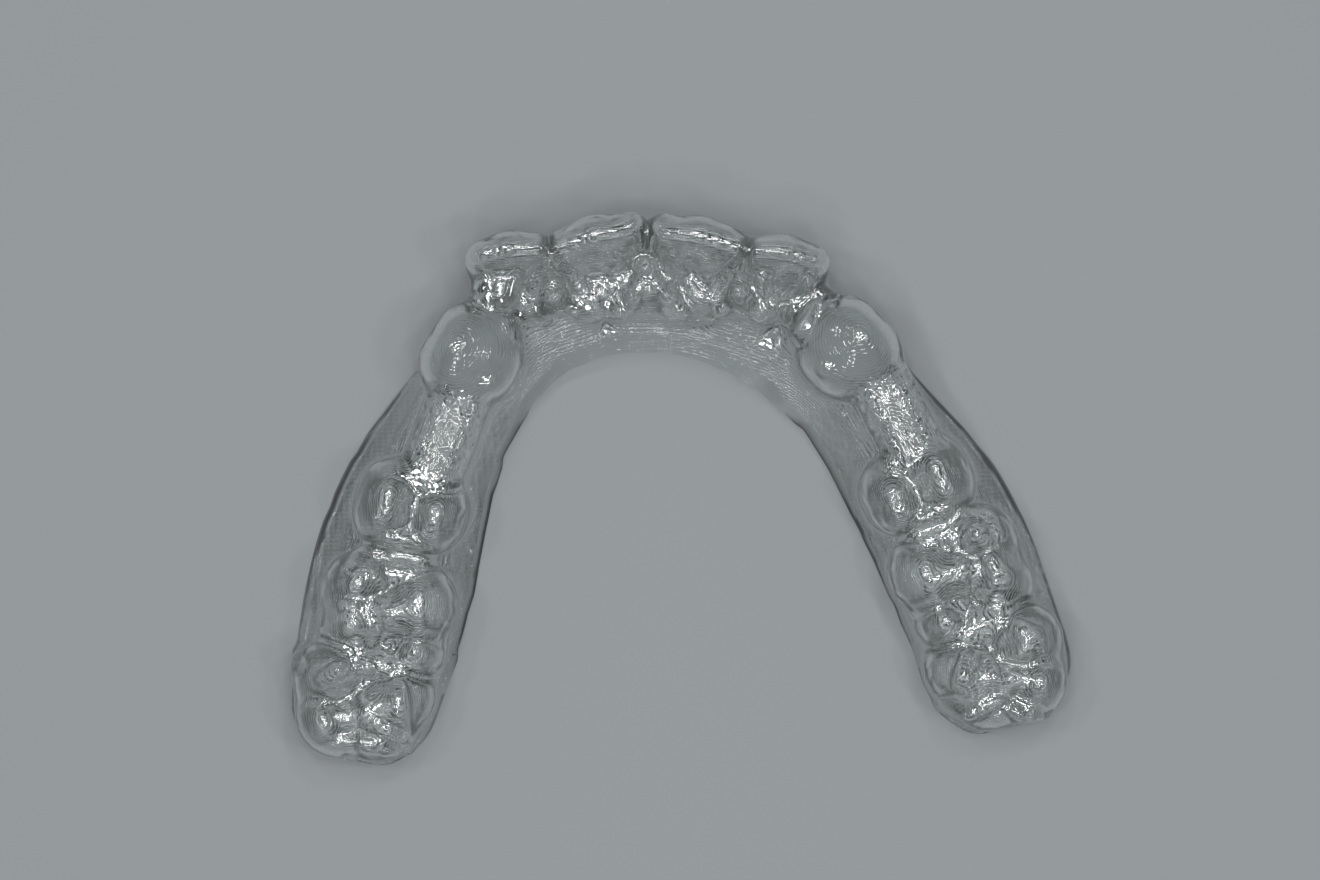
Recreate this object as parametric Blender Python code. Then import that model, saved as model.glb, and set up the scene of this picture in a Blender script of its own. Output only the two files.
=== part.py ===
"""Clear aligner for an upper dental arch, thermoformed from one sheet.

The sheet is drawn over a cast of the arch: crowns, two pontic bars in the extraction spaces, and the gum.
The cast is a field that is negative inside it, and the sheet is a grid of rays pushed on to the field, once
for the fitting face and once, a wall further out, for the outside. Metres, +Z up. The rim rests on Z = 0,
the biting side is up, +Y is the front of the mouth and +X the patient's left.
"""

from dataclasses import dataclass

import bmesh
import bpy
import numpy as np

MM = 0.001

# The sheet
WALL = 0.75 * MM
STATIONS = 112
ROWS = 27
END_STATIONS = 11

# Arch line: where the middles of the teeth lie, from the right end round the front to the left end
ARCH_WIDTH, ARCH_LENGTH = 52.5 * MM, 38.2 * MM
ARCH_POINTS = (
    (-0.5067 * ARCH_WIDTH, -0.5131 * ARCH_LENGTH),
    (-0.4590 * ARCH_WIDTH, -0.2513 * ARCH_LENGTH),
    (-0.4000 * ARCH_WIDTH, 0.0157 * ARCH_LENGTH),
    (-0.3276 * ARCH_WIDTH, 0.2461 * ARCH_LENGTH),
    (-0.2210 * ARCH_WIDTH, 0.4293 * ARCH_LENGTH),
    (-0.0190 * ARCH_WIDTH, 0.4869 * ARCH_LENGTH),
    (0.1676 * ARCH_WIDTH, 0.4188 * ARCH_LENGTH),
    (0.2914 * ARCH_WIDTH, 0.2461 * ARCH_LENGTH),
    (0.3790 * ARCH_WIDTH, -0.0157 * ARCH_LENGTH),
    (0.4457 * ARCH_WIDTH, -0.2513 * ARCH_LENGTH),
    (0.4933 * ARCH_WIDTH, -0.5131 * ARCH_LENGTH),
)

# Crowns of the cast: width along the arch, depth across it, height of the biting edge above the rim
CENTRAL_WIDTH, CENTRAL_DEPTH, CENTRAL_HEIGHT = 8.0 * MM, 7.0 * MM, 9.6 * MM
LATERAL_WIDTH, LATERAL_DEPTH, LATERAL_HEIGHT = 6.3 * MM, 6.2 * MM, 9.3 * MM
CANINE_WIDTH, CANINE_DEPTH, CANINE_HEIGHT = 7.0 * MM, 6.8 * MM, 9.5 * MM
PREMOLAR_WIDTH, PREMOLAR_DEPTH, PREMOLAR_HEIGHT = 7.2 * MM, 8.2 * MM, 8.6 * MM
FIRST_MOLAR_WIDTH, FIRST_MOLAR_DEPTH, FIRST_MOLAR_HEIGHT = 9.2 * MM, 10.2 * MM, 8.3 * MM
SECOND_MOLAR_WIDTH, SECOND_MOLAR_DEPTH, SECOND_MOLAR_HEIGHT = 8.4 * MM, 11.2 * MM, 7.9 * MM
BAR_LENGTH, BAR_WIDTH, BAR_HEIGHT = 6.4 * MM, 3.8 * MM, 7.6 * MM

NECK_HEIGHT = 2.6 * MM
GROOVE_BLEND = 0.35 * MM
FLOOR_BLEND = 1.2 * MM
LOBE_BLEND = 1.3 * MM
SHOULDER_BLEND = 1.3 * MM
EMBRASURE_BLEND = 0.55 * MM
TIP_ROUND = 0.55 * MM
CORE_RADIUS = 1.1 * MM
# Webs that fill the contacts between neighbours, in shares of the lesser depth and height
WEB_SHARE, WEB_HEIGHT = 0.40, 0.70
WEB_RADIUS, WEB_BLEND, WEB_REACH = 0.6 * MM, 0.8 * MM, 6.0 * MM
PAPILLA_REACH, PAPILLA_FOOT = 1.7, 3.9 * MM
FAR = 16.0 * MM
RELAX = 0.75
DRAW_STEPS = 50
# A stretch inside the curve of the front is met by rays from this much more of the arch than its own length
FAN_SPREAD = 2.4


@dataclass
class Form:
    """Shape of one kind of crown, in shares of its half width, half depth and height.

    lobes: stadiums (start, end, radius) that make the outline. union: how softly it joins its neighbours. ridges: the (x, y, drop) ends of each cusp or
    ridge on the biting side, which falls away at the slope down to the floor. x runs towards the midline, y
    towards the cheek or lip.
    """

    lobes: tuple
    ridges: tuple
    slope: float = 0.62
    floor: float = 0.5
    waist: float = 0.30
    pinch: float = 0.06
    lean: float = 0.0
    tip_round: float = 1.0
    shoulder: float = 1.0
    union: float = 1.0


INCISOR = Form(
    lobes=(
        ((-0.60, 0.46), (0.0, 0.54), 0.36),
        ((0.0, 0.54), (0.62, 0.52), 0.36),
        ((-0.20, -0.36), (0.20, -0.36), 0.62),
    ),
    ridges=(
        ((-0.78, 0.52, 0.05), (0.0, 0.64, 0.0)),
        ((0.0, 0.64, 0.0), (0.78, 0.60, 0.01)),
        ((0.80, 0.46, 0.07), (0.40, -0.60, 0.35)),
        ((-0.80, 0.42, 0.10), (-0.40, -0.60, 0.36)),
        ((-0.18, -0.66, 0.35), (0.18, -0.66, 0.35)),
        ((0.0, -0.60, 0.34), (0.04, -0.20, 0.40)),
    ),
    slope=1.3,
    floor=0.38,
    waist=0.08,
    pinch=0.16,
    lean=0.10,
    tip_round=0.7,
    shoulder=0.55,
    union=0.9,
)
CANINE = Form(
    lobes=(
        ((-0.30, 0.14), (0.26, 0.16), 0.78),
        ((-0.14, -0.34), (0.12, -0.34), 0.68),
    ),
    ridges=(
        ((-0.06, 0.30, 0.0), (0.08, 0.30, 0.0)),
        ((0.08, 0.30, 0.0), (0.74, 0.12, 0.12)),
        ((-0.06, 0.30, 0.0), (-0.74, 0.06, 0.13)),
        ((0.0, 0.20, 0.03), (0.04, -0.50, 0.15)),
        ((0.66, 0.06, 0.14), (0.34, -0.60, 0.17)),
        ((-0.66, 0.02, 0.14), (-0.34, -0.60, 0.17)),
    ),
    slope=0.62,
    waist=0.22,
    pinch=0.10,
    lean=0.06,
    tip_round=1.1,
)
PREMOLAR = Form(
    lobes=(
        ((-0.16, 0.34), (0.16, 0.34), 0.68),
        ((-0.10, -0.38), (0.12, -0.38), 0.64),
    ),
    ridges=(
        ((-0.26, 0.46, 0.03), (0.22, 0.48, 0.0)),
        ((-0.30, -0.54, 0.07), (0.08, -0.54, 0.05)),
        ((0.02, 0.44, 0.02), (0.02, 0.14, 0.14)),
        ((-0.06, -0.50, 0.07), (0.02, -0.16, 0.17)),
        ((0.74, 0.30, 0.12), (0.72, -0.28, 0.14)),
        ((-0.74, 0.30, 0.12), (-0.72, -0.28, 0.14)),
    ),
    slope=0.85,
)
FIRST_MOLAR = Form(
    lobes=(
        ((0.38, 0.40), (0.38, 0.40), 0.60),
        ((-0.42, 0.38), (-0.42, 0.38), 0.57),
        ((0.26, -0.36), (0.26, -0.36), 0.66),
        ((-0.62, -0.44), (-0.62, -0.44), 0.46),
    ),
    ridges=(
        ((0.52, 0.50, 0.03), (0.68, 0.44, 0.03)),
        ((0.06, 0.54, 0.05), (-0.10, 0.50, 0.05)),
        ((0.12, -0.58, 0.02), (0.38, -0.55, 0.0)),
        ((-0.66, -0.56, 0.11), (-0.60, -0.50, 0.10)),
        ((-0.10, 0.46, 0.07), (-0.62, 0.36, 0.17)),
        ((0.58, 0.44, 0.04), (0.34, 0.08, 0.20)),
        ((0.22, -0.50, 0.02), (-0.02, 0.44, 0.12)),
        ((-0.58, -0.46, 0.10), (-0.36, -0.20, 0.22)),
        ((0.88, 0.36, 0.12), (0.86, -0.34, 0.13)),
        ((-0.90, 0.28, 0.15), (-0.92, -0.30, 0.18)),
    ),
    slope=0.85,
)
SECOND_MOLAR = Form(
    lobes=(
        ((0.36, 0.44), (0.36, 0.44), 0.58),
        ((-0.38, 0.36), (-0.38, 0.36), 0.54),
        ((0.22, -0.40), (0.22, -0.40), 0.60),
        ((-0.46, -0.26), (-0.46, -0.26), 0.44),
    ),
    ridges=(
        ((0.40, 0.50, 0.02), (0.56, 0.44, 0.02)),
        ((-0.44, 0.54, 0.07), (-0.52, 0.48, 0.08)),
        ((-0.12, -0.52, 0.02), (0.14, -0.50, 0.01)),
        ((-0.54, -0.36, 0.15), (-0.50, -0.30, 0.15)),
        ((0.46, 0.42, 0.03), (0.26, 0.08, 0.20)),
        ((0.04, -0.44, 0.04), (-0.38, 0.42, 0.14)),
        ((0.86, 0.36, 0.12), (0.84, -0.30, 0.14)),
        ((-0.84, 0.26, 0.17), (-0.82, -0.18, 0.20)),
    ),
    slope=0.85,
)
BAR = Form(
    lobes=(((-1.1, 0.0), (1.1, 0.0), 1.0),),
    ridges=(
        ((-1.2, 0.30, 0.0), (1.2, 0.30, 0.0)),
        ((-1.2, -0.30, 0.0), (1.2, -0.30, 0.0)),
    ),
    slope=0.30,
    waist=0.06,
    pinch=0.0,
    tip_round=0.8,
)

# One side of the arch, from the midline back: form, width, depth, height
SIDE = (
    (INCISOR, CENTRAL_WIDTH, CENTRAL_DEPTH, CENTRAL_HEIGHT),
    (INCISOR, LATERAL_WIDTH, LATERAL_DEPTH, LATERAL_HEIGHT),
    (CANINE, CANINE_WIDTH, CANINE_DEPTH, CANINE_HEIGHT),
    (BAR, BAR_LENGTH, BAR_WIDTH, BAR_HEIGHT),
    (PREMOLAR, PREMOLAR_WIDTH, PREMOLAR_DEPTH, PREMOLAR_HEIGHT),
    (FIRST_MOLAR, FIRST_MOLAR_WIDTH, FIRST_MOLAR_DEPTH, FIRST_MOLAR_HEIGHT),
    (SECOND_MOLAR, SECOND_MOLAR_WIDTH, SECOND_MOLAR_DEPTH, SECOND_MOLAR_HEIGHT),
)
# How this mouth departs from an even arch, from the midline back: along it (mm), out of it (mm) and turn (deg)
RIGHT_PLACES = (
    (0.0, -0.5, 4.0),
    (0.3, 1.3, -34.0),
    (0.3, -0.1, -4.0),
    (0.5, -0.8, 0.0),
    (0.3, 0.1, 2.0),
    (-0.6, 0.0, 6.0),
    (1.1, 0.5, 2.0),
)
LEFT_PLACES = (
    (0.1, -0.6, 0.0),
    (0.2, 0.6, -26.0),
    (-0.6, 0.2, -6.0),
    (-0.3, 0.8, 0.0),
    (0.3, -0.1, 0.0),
    (0.3, 0.2, 0.0),
    (1.0, 0.6, -2.0),
)
# A raised block bonded behind the right lateral: middle, half sizes, turn and height
BLOCK_MIDDLE = (-13.3 * MM, 17.4 * MM)
BLOCK_HALF_LENGTH, BLOCK_HALF_WIDTH, BLOCK_HEIGHT = 0.6 * MM, 0.95 * MM, 8.0 * MM
BLOCK_TURN = 72.0
BLOCK_BLEND = 0.4 * MM
# Fine relief of this mouth, in mm: a stretch in plan (x and y of its ends), its half width, and how deep it is.
# A depth below 0 stands proud
RELIEF = (
    # The papilla between the centrals, with its two legs
    (-1.4, 18.1, -2.4, 15.6, 0.55, -0.45),
    (-1.1, 17.9, 0.4, 15.4, 0.55, -0.45),
    (-2.4, 15.6, -3.4, 14.6, 0.50, -0.20),
    (0.4, 15.4, 1.4, 14.3, 0.50, -0.20),
    (-2.1, 19.6, -2.5, 17.8, 0.65, 0.40),
    (-0.1, 19.3, -0.0, 17.4, 0.60, 0.40),
    (-4.1, 16.1, -4.6, 15.6, 0.70, 0.30),
    (1.3, 16.2, 1.8, 15.6, 0.70, 0.30),
    # The backs of the centrals
    (-3.4, 18.8, -4.1, 16.6, 0.45, -0.25),
    (0.9, 18.8, 1.8, 16.8, 0.45, -0.25),
    (-6.6, 18.7, -5.6, 18.5, 1.50, 0.25),
    (2.3, 17.7, 2.4, 17.6, 0.70, 0.30),
    (4.5, 18.1, 3.8, 17.0, 0.50, -0.20),
    (-4.8, 14.0, -4.8, 13.9, 0.80, 0.45),
    (3.0, 13.9, 3.0, 13.9, 0.90, 0.40),
    (-2.2, 22.0, -1.6, 22.0, 0.60, -0.25),
    (-0.4, 22.1, 0.5, 22.1, 0.70, -0.30),
    # The papillae beside the laterals
    (6.4, 17.5, 6.2, 15.7, 0.60, -0.35),
    (6.2, 15.7, 4.6, 14.3, 0.50, -0.35),
    (6.2, 15.7, 7.9, 13.8, 0.55, -0.35),
    (-8.9, 18.6, -8.9, 16.0, 0.60, -0.35),
    (-8.6, 16.0, -7.2, 15.0, 0.50, -0.30),
    (-9.0, 16.0, -9.7, 14.3, 0.50, -0.30),
    # The back of the left lateral
    (8.5, 16.4, 8.9, 14.3, 0.60, -0.45),
    (11.7, 16.1, 10.0, 14.6, 0.45, -0.40),
    (10.5, 15.8, 9.7, 15.4, 0.80, 0.50),
    (9.0, 12.6, 9.3, 12.5, 0.90, 0.50),
    # The canines
    (11.3, 12.5, 12.6, 14.1, 0.40, -0.30),
    (12.8, 8.9, 13.0, 8.8, 0.50, -0.25),
    (-14.0, 10.6, -13.9, 10.2, 0.60, 0.25),
    (-15.4, 10.2, -14.9, 9.8, 0.50, 0.25),
    # The right molars
    (-26.7, -5.1, -25.7, -3.9, 0.40, -0.20),
    (-25.7, -3.9, -23.8, -4.0, 0.40, -0.20),
    (-27.0, -8.2, -24.3, -8.1, 0.40, -0.20),
    (-24.0, -8.3, -23.6, -9.6, 0.40, -0.25),
    (-26.8, -10.0, -24.9, -10.1, 0.40, -0.20),
    (-24.6, -5.7, -24.1, -6.7, 0.40, -0.25),
    (-22.9, -12.0, -22.8, -12.2, 0.90, 0.50),
    (-21.6, -13.5, -21.3, -13.7, 0.90, 0.30),
    (-29.3, -14.2, -28.0, -13.4, 0.50, -0.25),
    (-28.0, -13.4, -25.6, -13.4, 0.50, -0.25),
    (-27.8, -16.4, -27.3, -16.5, 0.90, 0.30),
    (-23.2, -14.7, -22.9, -19.0, 0.45, -0.30),
    (-25.9, -17.6, -22.9, -19.6, 0.45, -0.30),
    (-26.4, -19.4, -22.9, -20.6, 0.45, -0.30),
    (-31.8, -12.1, -31.8, -13.0, 0.60, -0.45),
    # The left molars
    (23.6, -3.3, 25.7, -3.7, 0.40, -0.20),
    (25.7, -3.7, 26.3, -5.4, 0.40, -0.20),
    (22.4, -5.5, 23.2, -7.5, 0.40, -0.25),
    (23.2, -7.5, 23.2, -9.6, 0.40, -0.20),
    (24.5, -4.8, 23.8, -6.0, 0.40, -0.25),
    (25.5, -7.2, 26.6, -8.7, 0.40, -0.20),
    (26.6, -9.0, 24.7, -9.7, 0.40, -0.20),
    (22.4, -11.3, 22.6, -11.5, 0.80, 0.35),
    (23.7, -11.4, 23.8, -11.6, 0.50, -0.25),
    (27.4, -12.6, 28.9, -13.6, 0.40, -0.25),
    (28.9, -13.6, 29.3, -15.0, 0.40, -0.20),
    (27.6, -14.9, 27.9, -14.9, 0.50, -0.25),
    (25.9, -15.2, 27.1, -15.2, 0.40, -0.25),
    (23.2, -14.9, 22.5, -17.4, 0.45, -0.35),
    (24.9, -15.3, 25.4, -16.8, 0.40, -0.25),
    (22.4, -18.2, 22.6, -18.3, 0.90, 0.30),
    (21.3, -19.2, 23.2, -19.9, 0.40, -0.30),
    (23.2, -19.9, 25.7, -18.8, 0.40, -0.30),
    (25.7, -18.8, 27.3, -20.1, 0.40, -0.25),
    (27.3, -20.1, 29.7, -20.4, 0.40, -0.25),
)

# The gum and the trim line, from the midline back, right side and left side. Rims below 0 end on the table
CHEEK_REACH = (
    tuple(v * MM for v in (1.7, 1.8, 2.2, 4.1, 5.8, 6.3, 5.8)),
    tuple(v * MM for v in (1.7, 1.8, 2.2, 3.6, 5.6, 6.1, 6.2)),
)
CHEEK_SHELF = tuple(v * MM for v in (0.5, 1.0, 1.6, 1.9, 3.4, 4.2, 4.4))
CHEEK_RIM = tuple(v * MM for v in (-0.05, 0.2, 0.5, 0.25, -0.05, -0.05, -0.05))
PALATE_REACH = (
    tuple(v * MM for v in (5.9, 6.0, 5.4, 5.0, 5.3, 5.7, 4.7)),
    tuple(v * MM for v in (6.0, 6.3, 6.0, 5.4, 5.1, 5.0, 4.6)),
)
PALATE_SHELF = tuple(v * MM for v in (2.6, 2.6, 2.6, 2.4, 3.4, 4.0, 3.8))
PALATE_RIM = tuple(v * MM for v in (2.9, 2.6, 1.6, 0.6, 0.3, 0.2, 0.3))
GUM_HEIGHT = tuple(v * MM for v in (4.7, 4.6, 4.1, 3.9, 3.2, 2.9, 2.7))
GUM_BLEND = 1.2 * MM
END_REACH = 3.5 * MM
END_RIM = 0.2 * MM
END_SLOPE = 0.35
END_BLEND = 1.1 * MM
# Each distal corner is cut off square to a direction this share endwards and this share sideways
CORNER_ENDWARD, CORNER_SIDEWARD = 0.66, 0.75
CHEEK_CORNER, PALATE_CORNER = 5.0 * MM, 4.0 * MM

# Where the rays start inside the cast, from the midline back
CORE_HEIGHT = tuple(v * MM for v in (5.4, 5.2, 5.0, 4.9, 4.8, 4.6, 4.4))
CORE_OFFSET = tuple(v * MM for v in (0.6, 0.6, 0.2, 0.0, 0.0, 0.0, 0.0))
CORE_CHEEK = tuple(v * MM for v in (0.2, 0.3, 1.2, 0.5, 2.2, 2.8, 2.8))
CORE_PALATE = tuple(v * MM for v in (2.6, 2.2, 1.4, 0.5, 2.2, 2.8, 2.6))
END_CORE = 1.6 * MM
FAN_SHARE = 0.66


def smooth_max(a, b, blend):
    """The larger of two fields, with the edge between them rounded."""
    overlap = np.maximum(blend - np.abs(a - b), 0.0)
    return np.maximum(a, b) + overlap * overlap / (4 * blend)


def smooth_min(a, b, blend):
    """The smaller of two fields, with the groove between them filled."""
    return -smooth_max(-a, -b, blend)


def spline(knots, values, at):
    """Natural cubic curve through values at knots."""
    knots, values = np.asarray(knots, float), np.asarray(values, float)
    gap = np.diff(knots)
    rise = np.diff(values, axis=0) / (gap if values.ndim == 1 else gap[:, None])
    system, pull = np.eye(len(knots)), np.zeros_like(values)
    for i in range(1, len(knots) - 1):
        system[i, i - 1 : i + 2] = gap[i - 1], 2 * (gap[i - 1] + gap[i]), gap[i]
        pull[i] = 6 * (rise[i] - rise[i - 1])
    bend = np.linalg.solve(system, pull)
    i = np.clip(np.searchsorted(knots, at) - 1, 0, len(knots) - 2)
    ahead, behind, width = knots[i + 1] - at, at - knots[i], gap[i]
    if values.ndim > 1:
        ahead, behind, width = ahead[:, None], behind[:, None], width[:, None]
    return (
        bend[i] * ahead**3 / (6 * width)
        + bend[i + 1] * behind**3 / (6 * width)
        + (values[i] / width - bend[i] * width / 6) * ahead
        + (values[i + 1] / width - bend[i + 1] * width / 6) * behind
    )


def capsule_distance(points, start, end):
    """Distance of points, in plan or in space, to the stretch from start to end."""
    run = end - start
    share = np.clip((points - start) @ run / max(float(run @ run), 1e-12), 0, 1)
    return np.linalg.norm(points - start - share[:, None] * run, axis=1)


class Arch:
    """The arch line by its length, with its direction and its outward side in plan."""

    def __init__(self, points):
        points = np.array(points)
        chords = np.linalg.norm(np.diff(points, axis=0), axis=1)
        knots = np.concatenate([[0.0], np.cumsum(chords)])
        self.fine = np.linspace(0, knots[-1], 4000)
        self.line = spline(knots, points, self.fine)
        steps = np.linalg.norm(np.diff(self.line, axis=0), axis=1)
        self.length = np.concatenate([[0.0], np.cumsum(steps)])
        self.midline = np.interp(knots[len(points) // 2], self.fine, self.length)
        self.heading = np.gradient(self.line, self.length, axis=0)

    def nearest(self, point):
        """Length along the arch of the place nearest to a point in plan."""
        return self.length[np.argmin(np.linalg.norm(self.line - point, axis=1))]

    def at(self, s):
        """Place, direction along the arch and direction outwards, at lengths s."""
        s = np.asarray(s, float)
        inside = np.clip(s, 0, self.length[-1])
        place = np.stack([np.interp(inside, self.length, self.line[:, k]) for k in (0, 1)], -1)
        along = np.stack([np.interp(inside, self.length, self.heading[:, k]) for k in (0, 1)], -1)
        along /= np.linalg.norm(along, axis=-1, keepdims=True)
        place += along * (s - inside)[..., None]
        outward = np.stack([-along[..., 1], along[..., 0]], -1)
        return place, along, outward


class Crown:
    """One crown, or one bar, of the cast, placed on the arch."""

    def __init__(self, arch, form, s, mesial_sign, size, placing):
        width, depth, height = size
        slide, shift, turn = placing
        place, along, outward = arch.at(s)
        angle = np.radians(turn)
        mesial, facial = along * mesial_sign, outward
        self.form, self.s = form, s
        self.centre = place + (mesial * slide + facial * shift) * MM
        self.mesial = mesial * np.cos(angle) + facial * np.sin(angle)
        self.facial = facial * np.cos(angle) - mesial * np.sin(angle)
        self.half = np.array([width / 2, depth / 2])
        self.height = height
        self.reach = width / 2 + FIRST_MOLAR_WIDTH / 2

    def distance_to(self, x, y, start, end):
        """Distance in plan to the stretch from start to end, and how far along it the nearest point is."""
        a, b = np.array(start[:2]) * self.half, np.array(end[:2]) * self.half
        run = b - a
        length = max(float(run @ run), 1e-12)
        share = np.clip(((x - a[0]) * run[0] + (y - a[1]) * run[1]) / length, 0, 1)
        return np.hypot(x - a[0] - share * run[0], y - a[1] - share * run[1]), share

    def biting_height(self, x, y):
        """Height of the cusps and ridges over a place in plan."""
        top = None
        soften = TIP_ROUND * self.form.tip_round
        for start, end in self.form.ridges:
            away, share = self.distance_to(x, y, start, end)
            crest = self.height * (1 - start[2] - (end[2] - start[2]) * share)
            falling = crest - self.form.slope * (np.hypot(away, soften) - soften)
            top = falling if top is None else smooth_max(top, falling, GROOVE_BLEND)
        return smooth_max(top, self.height * (1 - self.form.floor), FLOOR_BLEND)

    def field(self, points):
        """Signed distance, roughly, to this crown."""
        form = self.form
        flat = points[:, :2] - self.centre
        x, y, z = flat @ self.mesial, flat @ self.facial, points[:, 2]
        y = y - form.lean * (z - self.height / 2)
        rise = np.clip((z - NECK_HEIGHT) / (self.height - NECK_HEIGHT), -0.5, 1.1)
        swell_y = 1 - form.waist * np.clip(rise - 0.3, 0, None) ** 2 / 0.49 - form.pinch * np.clip(0.3 - rise, 0, None)
        swell_x = 1 - 0.35 * form.waist * np.clip(rise - 0.45, 0, None) ** 2 / 0.3
        swell_x = swell_x - 2.2 * form.pinch * np.clip(0.45 - rise, 0, None)
        radius_scale = self.half.mean() if form is not BAR else self.half[1]
        side = None
        for start, end, radius in form.lobes:
            away, _ = self.distance_to(x / swell_x, y / swell_y, start, end)
            wall = away - radius * radius_scale
            side = wall if side is None else smooth_min(side, wall, LOBE_BLEND)
        side = side * np.minimum(swell_x, swell_y)
        top = (z - self.biting_height(x, y)) / np.hypot(1, form.slope)
        return smooth_max(side, top, SHOULDER_BLEND * form.shoulder)


class Cast:
    """The whole cast: crowns, bars and gum, as one field."""

    def __init__(self):
        self.arch = Arch(ARCH_POINTS)
        self.crowns, stations = [], {-1: [], 1: []}
        for sign, placings in ((-1, RIGHT_PLACES), (1, LEFT_PLACES)):
            walked = 0.0
            for (form, *size), placing in zip(SIDE, placings):
                s = self.arch.midline + sign * (walked + size[0] / 2)
                self.crowns.append(Crown(self.arch, form, s, -sign, size, placing))
                stations[sign].append(s)
                walked += size[0]
        self.knots = np.array(stations[-1][::-1] + stations[1])
        self.start, self.end = self.knots[0], self.knots[-1]
        self.webs = self.find_webs()
        self.relief = self.place_relief()

    def find_webs(self):
        """The bridges of plastic across the contacts: two ends and the place on the arch of each."""
        row = sorted(self.crowns, key=lambda crown: crown.s)
        found = []
        for a, b in zip(row, row[1:]):
            if a.form is BAR or b.form is BAR:
                continue
            middle = (a.centre * b.half[0] + b.centre * a.half[0]) / (a.half[0] + b.half[0])
            across = a.facial + b.facial
            across *= WEB_SHARE * min(a.half[1], b.half[1]) / np.linalg.norm(across)
            height = WEB_HEIGHT * min(a.height, b.height)
            ends = [np.array([*(middle + sign * across), height]) for sign in (-1, 1)]
            found.append((ends[0], ends[1], (a.s + b.s) / 2))
            if INCISOR in (a.form, b.form):
                # The papilla runs down from the contact to the palate
                foot = np.array([*(middle - PAPILLA_REACH * across), PAPILLA_FOOT])
                found.append((ends[0], foot, (a.s + b.s) / 2))
        return found

    def place_relief(self):
        """The fine relief in metres, with the place on the arch and the reach along it of each stretch."""
        found = []
        for x0, y0, x1, y1, radius, depth in np.array(RELIEF) * MM:
            first, second = np.array([x0, y0]), np.array([x1, y1])
            reach = FAN_SPREAD * (2.5 * radius + np.linalg.norm(second - first) / 2)
            place_s = np.clip(self.arch.nearest((first + second) / 2), self.start, self.end)
            found.append((first, second, place_s, reach, radius, depth))
        return found

    def along(self, values, s):
        """A size given per tooth from the midline back, for both sides or each, smoothed along the arch."""
        right, left = values if isinstance(values[0], tuple) else (values, values)
        both = np.array(right[::-1] + left)
        return np.maximum(spline(self.knots, both, np.clip(s, self.start, self.end)), 0.0)

    def gum(self, s, across, height):
        """The ridge under the crowns: a slope to the cheek, a slope to the palate and a rounded top."""
        top = self.along(GUM_HEIGHT, s)
        cheek_foot, cheek_top = self.along(CHEEK_REACH, s), self.along(CHEEK_SHELF, s)
        palate_foot, palate_top = self.along(PALATE_REACH, s), self.along(PALATE_SHELF, s)
        cheek_rim, palate_rim = self.along(CHEEK_RIM, s), self.along(PALATE_RIM, s)
        cheek_slope = (cheek_foot - cheek_top) / (top - cheek_rim)
        palate_slope = (palate_foot - palate_top) / (top - palate_rim)
        cheek = (across - cheek_foot + cheek_slope * (height - cheek_rim)) / np.hypot(1, cheek_slope)
        palate = (-across - palate_foot + palate_slope * (height - palate_rim)) / np.hypot(1, palate_slope)
        sides = smooth_max(cheek, palate, GUM_BLEND)
        return smooth_max(sides, height - top, GUM_BLEND)

    def block(self, points):
        """The bonded block, a short upright bar with rounded ends."""
        x, y = points[:, 0] - BLOCK_MIDDLE[0], points[:, 1] - BLOCK_MIDDLE[1]
        cos, sin = np.cos(np.radians(BLOCK_TURN)), np.sin(np.radians(BLOCK_TURN))
        along, aside = x * cos + y * sin, y * cos - x * sin
        side = np.hypot(np.clip(np.abs(along) - BLOCK_HALF_LENGTH, 0, None), aside) - BLOCK_HALF_WIDTH
        return smooth_max(side, points[:, 2] - BLOCK_HEIGHT, BLOCK_BLEND)

    def field(self, points, s, across, beyond, core_height, core_offset):
        """The union at points, whose place along, across and beyond the ends of the arch is known."""
        height = points[:, 2]
        ridge = self.gum(s, across, height)
        lift = END_SLOPE * (height - END_RIM)
        past_end = beyond - np.minimum(s - self.start, self.end - s)
        for side, corner in ((1, CHEEK_CORNER), (-1, PALATE_CORNER)):
            cut = CORNER_ENDWARD * past_end + CORNER_SIDEWARD * side * across - corner
            ridge = smooth_max(ridge, cut + lift, END_BLEND)
        ridge = smooth_max(ridge, past_end - END_REACH + lift, END_BLEND)
        found = smooth_min(
            ridge,
            np.sqrt((across - core_offset) ** 2 + (height - core_height) ** 2 + beyond**2) - CORE_RADIUS,
            EMBRASURE_BLEND,
        )
        found = smooth_min(found, self.block(points), BLOCK_BLEND)
        for crown in self.crowns:
            near = np.abs(s - crown.s) < crown.reach
            if near.any():
                blend = EMBRASURE_BLEND * crown.form.union
                found[near] = smooth_min(found[near], crown.field(points[near]), blend)
        for first, second, place_s in self.webs:
            near = np.abs(s - place_s) < WEB_REACH
            if near.any():
                web = capsule_distance(points[near], first, second) - WEB_RADIUS
                found[near] = smooth_min(found[near], web, WEB_BLEND)
        for first, second, place_s, reach, radius, depth in self.relief:
            near = np.abs(s - place_s) < reach
            if near.any():
                away = capsule_distance(points[near, :2], first, second)
                found[near] += depth * np.exp(-((away / radius) ** 2))
        return found


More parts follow.
